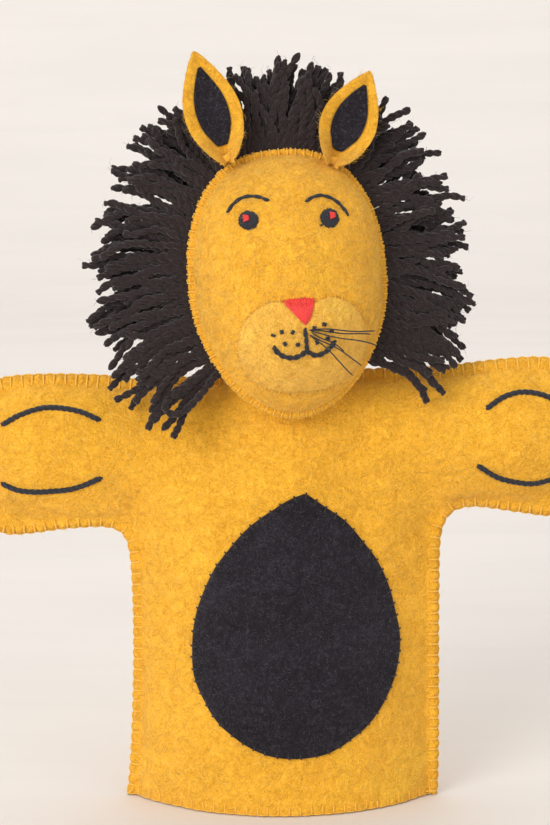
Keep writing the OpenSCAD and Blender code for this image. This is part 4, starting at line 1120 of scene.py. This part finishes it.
# Eyes and brows
eyes = {"left": {"at": (-14.2, 23.4), "glint": (-0.9, 0.9)}, "right": {"at": (13.6, 22.0), "glint": (1.0, 1.0)},
        "radius": 3.2, "threads": 17}
for name in ("left", "right"):
    at = np.array(eyes[name]["at"])
    bag = newBag()
    slant = 0.35 if name == "left" else -0.25
    across = np.array([math.cos(slant), math.sin(slant)])
    upward = np.array([-across[1], across[0]])
    for layer, (count, rise, share) in enumerate(((eyes["threads"], 0.5, 1.0), (11, 1.05, 0.72))):
        for k in range(count):
            t = (k / (count - 1) * 2 - 1) * share
            reach = eyes["radius"] * math.sqrt(max(0.02, 1 - t * t * 0.96)) * (1 if layer == 0 else 0.8)
            along = np.linspace(-1, 1, 11)
            line = at + across * t * eyes["radius"] + upward * (along * (reach + rng.normal(0, 0.1)))[:, None]
            path = faceAt(line)
            path[:, 1] -= rise * np.sqrt(np.maximum(0, 1 - along ** 2 * 0.96)) * (1 - 0.35 * t * t) + 0.1
            addTube(bag, onHead(path), 0.3, ends=0.9)
    if name == "right":
        nub = at + np.array([[-2.5, -1.6], [-3.4, -2.2], [-4.0, -2.0]])
        addTube(bag, onHead(faceAt(nub, 0.4)), 0.4)
    wear(fromBag(name + "EyeThreads", bag, blackThread), "head", name + "_eye")
    bag = newBag()
    spot = at + np.array(eyes[name]["glint"])
    for k in range(4):
        line = spot + np.linspace(-1, 1, 8)[:, None] * np.array([1.05, 0.35 - 0.2 * k]) + [0, (k - 1.5) * 0.5]
        path = faceAt(line)
        path[:, 1] -= 1.5 + 0.35 * np.cos(np.linspace(-1.5, 1.5, 8))
        addTube(bag, onHead(path), 0.32)
    wear(fromBag(name + "EyeGlint", bag, redThread), "head", name + "_eye_glint")

brows = {"left": [(-6.4, 29.4), (-10.2, 31.2), (-14.8, 31.4), (-18.6, 29.3), (-20.9, 26.5)],
         "right": [(5.6, 28.2), (8.6, 29.6), (11.9, 29.9), (15.6, 28.4), (18.5, 25.6), (20.6, 22.2)]}
for name, points in brows.items():
    bag = newBag()
    line = smoothPath(np.array(points), 26)
    path = faceAt(line, 0.35)
    path[0, 1] += 1.0
    path[-1, 1] += 1.0
    addPlies(bag, onHead(path), 0.24, 0.48, 7)
    wear(fromBag(name + "BrowThread", bag, blackThread), "head", name + "_eyebrow")
print("face ready")

# Ears
ears = {
    "left": {"foot": (-18.2, 43.2), "lean": -13, "share": 1.0, "pinch": 1.0},
    "right": {"foot": (17.2, 39.8), "lean": 27, "share": 0.88, "pinch": 1.3},
    "length": 40, "width": 21, "felt": 2.1, "y": -4.4, "rim": 3.7,
}


# Half width of the ear at v, from its foot at 0 to its tip at 1
def earHalf(v, width):
    profile = np.sin(np.pi * np.clip(v, 0, 1) ** 0.9) ** 0.82 * (1 - 0.12 * v)
    return width / 2 * np.maximum(profile, 0.2 * (1 - v) ** 2.5)


# Point of the ear's middle surface: u across from -1 to 1, v from the foot to the tip
def earPoint(u, v, length, width, pinch):
    half = earHalf(v, width)
    bend = np.interp(v, [0, 0.12, 0.3, 0.6, 1], [2.0 * pinch, 0.75 * pinch, 0.28, 0.2, 0.3])
    x = u * half
    y = -half * bend * u * u * 1.4 + 1.1 * np.sin(v * 2.6) + 0.3 * np.sin(u * 3 + v * 7)
    return np.stack([x, y, v * length + 0 * u], -1)


def earSheet(name, length, width, pinch, thick, lift, foot, place, material, low=0.0, high=1.0, inset=0.0):
    n, m = 27, 45
    u, v = np.meshgrid(np.linspace(-1, 1, n), low + (high - low) * (0.5 - 0.5 * np.cos(np.linspace(0, np.pi, m))))
    middle = earPoint(u, v, length, width, pinch)
    if inset:
        half = earHalf(v, width)
        share = np.clip((half - inset) / np.maximum(half, 0.1), 0.04, 1)
        middle = earPoint(u * share, v, length, width, pinch)
    du = unit(np.gradient(middle, axis=1))
    dv = unit(np.gradient(middle, axis=0))
    normal = unit(np.cross(du, dv))
    normal = np.where(normal[..., 1:2] > 0, -normal, normal)
    upDown = np.abs((v - low) / (high - low) * 2 - 1)
    round_ = np.sqrt(np.clip(1 - (np.abs(u) ** 6), 0.0, 1)) * np.sqrt(np.clip(1 - upDown ** 14, 0.05, 1))
    front = middle + normal * (lift + thick / 2 * round_)[..., None]
    back = middle + normal * (lift - thick / 2 * round_)[..., None]
    verts = np.concatenate([front.reshape(-1, 3), back.reshape(-1, 3)])
    i, j = np.meshgrid(np.arange(m - 1), np.arange(n - 1), indexing="ij")
    a = (i * n + j).ravel()
    faces = np.stack([a, a + 1, a + n + 1, a + n], 1)
    count = n * m
    loop = list(range(n)) + [r * n + n - 1 for r in range(1, m)]
    loop += [(m - 1) * n + j for j in range(n - 2, -1, -1)] + [r * n for r in range(m - 2, 0, -1)]
    walls = [(b, a, a + count, b + count) for a, b in zip(loop, loop[1:] + loop[:1])]
    local = verts @ place.T + foot
    return newObject(name, onHead(local), faces.tolist() + (faces[:, ::-1] + count).tolist() + walls, material)


for name in ("left", "right"):
    ear = ears[name]
    length = ears["length"] * ear["share"]
    foot = np.array([ear["foot"][0], ears["y"], ear["foot"][1]])
    place = axisTurn("Y", ear["lean"]) @ axisTurn("X", 4)
    thing = earSheet(name + "EarFelt", length, ears["width"], ear["pinch"], ears["felt"], 0, foot, place, mustard)
    wear(thing, "head", name + "_ear")
    thing = earSheet(name + "EarLining", length, ears["width"], ear["pinch"], 1.1,
                     ears["felt"] / 2 + 0.5, foot, place,
                     charcoal, 0.16, 0.86, ears["rim"])
    wear(thing, "head", name + "_ear_lining")
    bag = newBag()
    for k in range(5):
        a = (k - 2) * 0.5
        ring = np.array([(math.cos(t) * 2.1 + a * 0.3, math.sin(t) * 1.6 - 1.2, 2.2 + a + 0.5 * math.cos(t))
                         for t in np.linspace(0, 6.1, 14)])
        addTube(bag, onHead(ring @ place.T + foot), 0.38)
    wear(fromBag(name + "EarTack", bag, mustardThread), "head", name + "_ear_tack")
print("ears ready")

# Mane
mane = {
    "length": 31.5, "ply": 0.84, "reach": 0.56, "twist": 6.5, "hairs": 26,
    "rows": [
        {"node": "mane_front_row", "count": 96, "from": -0.9, "y": (0.4, 3.4),
         "short": 4.5, "start": -42, "end": 222},
        {"node": "mane_front_row", "count": 92, "from": -0.4, "y": (1.2, 5.6),
         "short": 1.5, "start": -38, "end": 219},
        {"node": "mane_front_row", "count": 74, "from": 0.4, "y": (3.4, 8.0),
         "short": 0.0, "start": -24, "end": 203},
        {"node": "mane_middle_row", "count": 74, "from": -1.5, "y": (6.6, 12.5),
         "short": 0.5, "start": -20, "end": 197},
        {"node": "mane_back_row", "count": 64, "from": -4.0, "y": (12.5, 19),
         "short": 1.5, "start": -16, "end": 192},
    ],
}


# Path of one strand of yarn: up out of the seam, then outwards with a slow curl and a droop at the sides
def strandPath(a, row, length, own):
    root = seamPoint(np.array(a), -row["from"])
    out = unit(seamPoint(np.array(a + 0.02)) - seamPoint(np.array(a - 0.02)))
    out = np.array([out[1], -out[0]])
    radial = np.array([math.cos(a), math.sin(a)])
    out = unit(out * 0.5 + radial * 0.5 + [0, 0.5 * min(0, math.sin(a)) * -1.0])
    across = np.array([-out[1], out[0]])
    u = np.linspace(0, 1, 18)
    sway = own.normal(0, 0.13) + own.normal(0, 0.16) * u
    curl = 1.9 * np.sin(u * own.uniform(3, 8) + own.uniform(0, 6.28)) * u ** 0.8
    flat = root + out * (u * length)[:, None] + across * (sway * u * length + curl)[:, None]
    sideways = abs(math.cos(a)) ** 0.7
    flat[:, 1] -= sideways * (own.uniform(2.5, 7.0) + (4 if math.sin(a) < 0 else 0)) * u ** 2
    level = own.uniform(*row["y"])
    depth = row["y"][0] * 0.6 + (level - row["y"][0] * 0.6) * np.sin(u * 1.5) + own.normal(0, 0.6) * u * u
    if math.sin(a) < -0.25:
        depth = np.minimum(depth, 1.8 + 0 * depth) - 1.5 * u
    return np.stack([flat[:, 0], depth, flat[:, 1]], 1)


maneBags = {row["node"]: newBag() for row in mane["rows"]}
maneHairs = newBag()


def addStrand(bag, path, own):
    path = onHead(path)
    thick = mane["ply"] * own.uniform(0.9, 1.12)
    path = evenly(path, max(4, int(lengthOf(path) / 0.95)))
    side, other = framesAlong(path)
    s = np.linspace(0, lengthOf(path), len(path))
    thin = np.interp(s, [0, s[-1] - 3, s[-1]], [1, 1.04, 0.9]) * (1 + 0.1 * np.sin(s * 1.1 + own.uniform(0, 6)))
    phase = own.uniform(0, 6.28)
    twist = mane["twist"] * own.uniform(0.85, 1.25)
    for ply in range(2):
        a = 2 * np.pi * (s / twist + ply / 2) + phase
        loose = mane["reach"] * np.interp(s, [0, s[-1] - 3, s[-1]], [1, 1, 1.12])[:, None]
        wound = np.cos(a)[:, None] * side + np.sin(a)[:, None] * other
        addTube(bag, path + loose * wound, thick * thin, ends=0.8)
    count = mane["hairs"]
    at = own.integers(1, len(path), count)
    spots = path[at] + own.normal(0, 0.4, (count, 3))
    ways = own.normal(size=(count, 3)) + unit(np.gradient(path, axis=0))[at] * 0.8
    addHairs(maneHairs, spots, ways, own.uniform(1.2, 3.8, count), 0.055, own, 0.8)


for r, row in enumerate(mane["rows"]):
    own = np.random.default_rng(100 + r)
    for k in range(row["count"]):
        share = (k + 0.5 + own.uniform(-0.4, 0.4)) / row["count"]
        degrees = row["start"] + (row["end"] - row["start"]) * share
        a = math.radians(degrees)
        length = (mane["length"] - row["short"]) * own.uniform(0.8, 1.08) * (1 - 0.06 * math.cos(a))
        if math.sin(a) < 0:
            length *= 1 + 0.25 * math.sin(a)
        addStrand(maneBags[row["node"]], strandPath(a, row, length, own), own)
# a loop that hangs over the left shoulder, two ends at the right, and one that lies across the top of the forehead
own = np.random.default_rng(140)
extras = [
    [(-24, 2.0, -25), (-29, -1.0, -31), (-35.5, -2.5, -37.5), (-41, -3.0, -41.5), (-45.5, -2.6, -41.0),
     (-46.0, -2.0, -37.5), (-41.5, -1.0, -34.5), (-34, 1.0, -29)],
    [(27, 2.0, -22), (36, 0.0, -29.5), (45, -1.5, -33.5), (47.5, -2.0, -36.0)],
    [(29, 2.0, -18), (39, 0.5, -27), (46.5, -1.0, -30.0), (53, -1.5, -31.0)],
    [(6, 1.5, 45), (12, 0.6, 51.5), (18, 0.8, 58.5), (22.5, 1.5, 66.5)],
]
for points in extras:
    addStrand(maneBags["mane_front_row"], smoothPath(np.array(points, float), 30), own)
for node, bag in maneBags.items():
    wear(fromBag(node.replace("_row", "").replace("_", "") + "Yarn", bag, yarn), "head", node)
wear(fromBag("maneFuzz", maneHairs, yarnFuzz), "head", None)
bag = newBag()
line = np.array([[*seamPoint(np.array(math.radians(a)), -0.4)] for a in np.linspace(-24, 203, 90)])
depth = 3.2 + 0.5 * np.sin(np.arange(90) * 1.3)
addPlies(bag, onHead(np.stack([line[:, 0], depth, line[:, 1]], 1)), 0.25, 0.3, 3.2)
wear(fromBag("maneCouching", bag, blackThread), "head", "mane_couching")
print("mane ready")

# Inner pieces: the filling, the finger sleeve with its cap, the collar and the bar of thread at the chin
inner = {"voxel": 5, "shrink": 2.6, "pressure": 4, "cap": 2.4, "frames": 20, "fullness": 0.75,
         "feltVoxel": 0.8, "rough": 0.1, "threads": 6}


def evaluatedCopy(thing, material):
    mesh = bpy.data.meshes.new_from_object(thing.evaluated_get(bpy.context.evaluated_depsgraph_get()))
    thing.modifiers.clear()
    thing.data = mesh
    mesh.materials.clear()
    mesh.materials.append(material)
    mesh.shade_smooth()


# Own mesh with the node's shape, in even small faces
def remeshed(node, name, voxel, material):
    thing = bpy.data.objects.new(name, bpy.data.objects[node].data.copy())
    bpy.context.scene.collection.objects.link(thing)
    even = thing.modifiers.new("even", "REMESH")
    even.mode = "VOXEL"
    even.voxel_size = voxel * 0.001
    evaluatedCopy(thing, material)
    return thing


def readCoords(thing):
    coords = np.empty(len(thing.data.vertices) * 3)
    thing.data.vertices.foreach_get("co", coords)
    return coords.reshape(-1, 3)


def writeCoords(thing, coords):
    thing.data.vertices.foreach_set("co", np.asarray(coords).ravel())
    thing.data.update()


def normalsOf(thing):
    normals = np.empty(len(thing.data.vertices) * 3)
    thing.data.vertices.foreach_get("normal", normals)
    return normals.reshape(-1, 3)


# Wool pushed in until it swells: pressure from inside, and no point goes further than the cap
def swollen(thing):
    start = readCoords(thing)
    cloth = thing.modifiers.new("swell", "CLOTH")
    cloth.settings.use_pressure = True
    cloth.settings.uniform_pressure_force = inner["pressure"]
    cloth.settings.effector_weights.gravity = 0
    cloth.settings.quality = 6
    cloth.point_cache.frame_start, cloth.point_cache.frame_end = 1, inner["frames"]
    for step in range(1, inner["frames"] + 1):
        bpy.context.scene.frame_set(step)
    evaluatedCopy(thing, thing.data.materials[0])
    bpy.context.scene.frame_set(1)
    moved = readCoords(thing) - start
    far = np.maximum(np.linalg.norm(moved, axis=1, keepdims=True), 1e-9)
    writeCoords(thing, start + moved * np.minimum(1, inner["cap"] * 0.001 / far))


headFill = remeshed("head_stuffing", "headFill", inner["voxel"], fillWool)
writeCoords(headFill, readCoords(headFill) - normalsOf(headFill) * inner["shrink"] * 0.001)
swollen(headFill)
finer = headFill.modifiers.new("finer", "SUBSURF")
finer.levels = finer.render_levels = 1
evaluatedCopy(headFill, fillWool)
wear(headFill, "head", "head_stuffing")
print("filling ready")

innerFelts = {"fingerSleeveFelt": ("finger_sleeve", "head"), "sleeveCapFelt": ("sleeve_cap", "head"),
              "neckCollarFelt": ("neck_collar", "neck")}
for name, (node, body) in innerFelts.items():
    thing = remeshed(node, name, inner["feltVoxel"], mustard)
    coords = readCoords(thing)
    x, y, z = (coords * 1000).T
    lumps = softNoise(x + 0.7 * y, z + 0.6 * y, 7, 81) + 0.6 * softNoise(x - 0.8 * y, z, 3, 82)
    writeCoords(thing, coords + normalsOf(thing) * (lumps * inner["rough"] * 0.001)[:, None])
    wear(thing, body, node)
low, high = boxMm("chin_tack")
low, high = low - [0, seamY, 0], high - [0, seamY, 0]
bag = newBag()
for k in range(inner["threads"]):
    a = 2 * math.pi * k / inner["threads"]
    off = np.array([0, math.cos(a), math.sin(a)]) * 0.26
    ends = np.array([[low[0] + (high[0] - low[0]) * share, 0, 0] for share in (0, 0.3, 0.7, 1)])
    path = smoothPath(ends + [0, (low[1] + high[1]) / 2, (low[2] + high[2]) / 2] + off, 14)
    addTube(bag, path, 0.16)
wear(fromBag("chinTackThread", bag, mustardThread), "neck", "chin_tack")
print("inner pieces ready")

# Felt nap: fibres that stand off the felt, over the first share of a piece's faces
def addNap(thing, share, count, lengths, radius, material, seed):
    own = np.random.default_rng(seed)
    mesh = thing.data
    n = len(mesh.polygons)
    middle, normal, area = np.empty(n * 3), np.empty(n * 3), np.empty(n)
    mesh.polygons.foreach_get("center", middle)
    mesh.polygons.foreach_get("normal", normal)
    mesh.polygons.foreach_get("area", area)
    last = int(n * share)
    middle = middle.reshape(-1, 3)[:last] * 1000 - [0, seamY, 0]
    normal, area = normal.reshape(-1, 3)[:last], area[:last] * 1e6
    pick = own.choice(last, count, p=area / area.sum())
    aside = unit(np.cross(normal[pick], own.normal(size=(count, 3))))
    roots = middle[pick] + aside * (np.sqrt(area[pick]) * own.uniform(0, 0.6, count))[:, None] - normal[pick] * 0.05
    ways = unit(np.cross(normal[pick], own.normal(size=(count, 3))))
    ways = ways + normal[pick] * own.uniform(0.02, 0.4, count)[:, None]
    bag = newBag()
    addHairs(bag, roots, ways, own.uniform(*lengths, count), radius, own, 0.45)
    return fromBag(thing.name + material.name[:5] + "Nap", bag, material)


napCounts = {"Body": 9000, "LeftArm": 1300, "RightArm": 1300, "LeftPaw": 2200, "RightPaw": 2200}
for label in ("Front", "Back"):
    for zone, zoneName in zoneNames.items():
        thing = bpy.data.objects["glove" + label + zoneName]
        count = int(napCounts[zoneName] * (1 if label == "Front" else 0.5))
        hangOn(addNap(thing, 0.46, count, (0.8, 3.0), 0.06, mustardFuzz, 300 + zone), zone)
        hangOn(addNap(thing, 0.46, count // 3, (1.6, 5.0), 0.055, lightFuzz, 320 + zone), zone)
# piece, share of its faces that are outside, fibres and their material
headNap = [
    ("tummyPatch", 0.46, 3000, greyFuzz), ("faceFelt", 0.75, 6500, mustardFuzz), ("faceFelt", 0.75, 2600, lightFuzz),
    ("napeFelt", 0.75, 3000, mustardFuzz), ("muzzleFelt", 0.46, 1300, mustardFuzz),
    ("muzzleFelt", 0.46, 700, lightFuzz),
    ("leftEarFelt", 1.0, 900, mustardFuzz), ("rightEarFelt", 1.0, 900, mustardFuzz),
    ("leftEarLining", 0.46, 160, greyFuzz), ("rightEarLining", 0.46, 160, greyFuzz),
]
for name, share, count, material in headNap:
    lengths = (0.5, 2.0) if material is greyFuzz else (0.8, 3.2)
    thing = addNap(bpy.data.objects[name], share, count, lengths, 0.05, material, 400 + count)
    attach(thing, "torso" if name == "tummyPatch" else "head")
print("nap ready")


for name, (across, up, area) in gloveFlats.items():
    under = ["sleeveCapFelt"] if name.endswith("Body") else []
for name in ("left", "right"):
    length = ears["length"] * ears[name]["share"]
sleeveLow, sleeveHigh = boxMm("finger_sleeve")
across = sleeveHigh[0] - sleeveLow[0]

# Close
low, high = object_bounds()
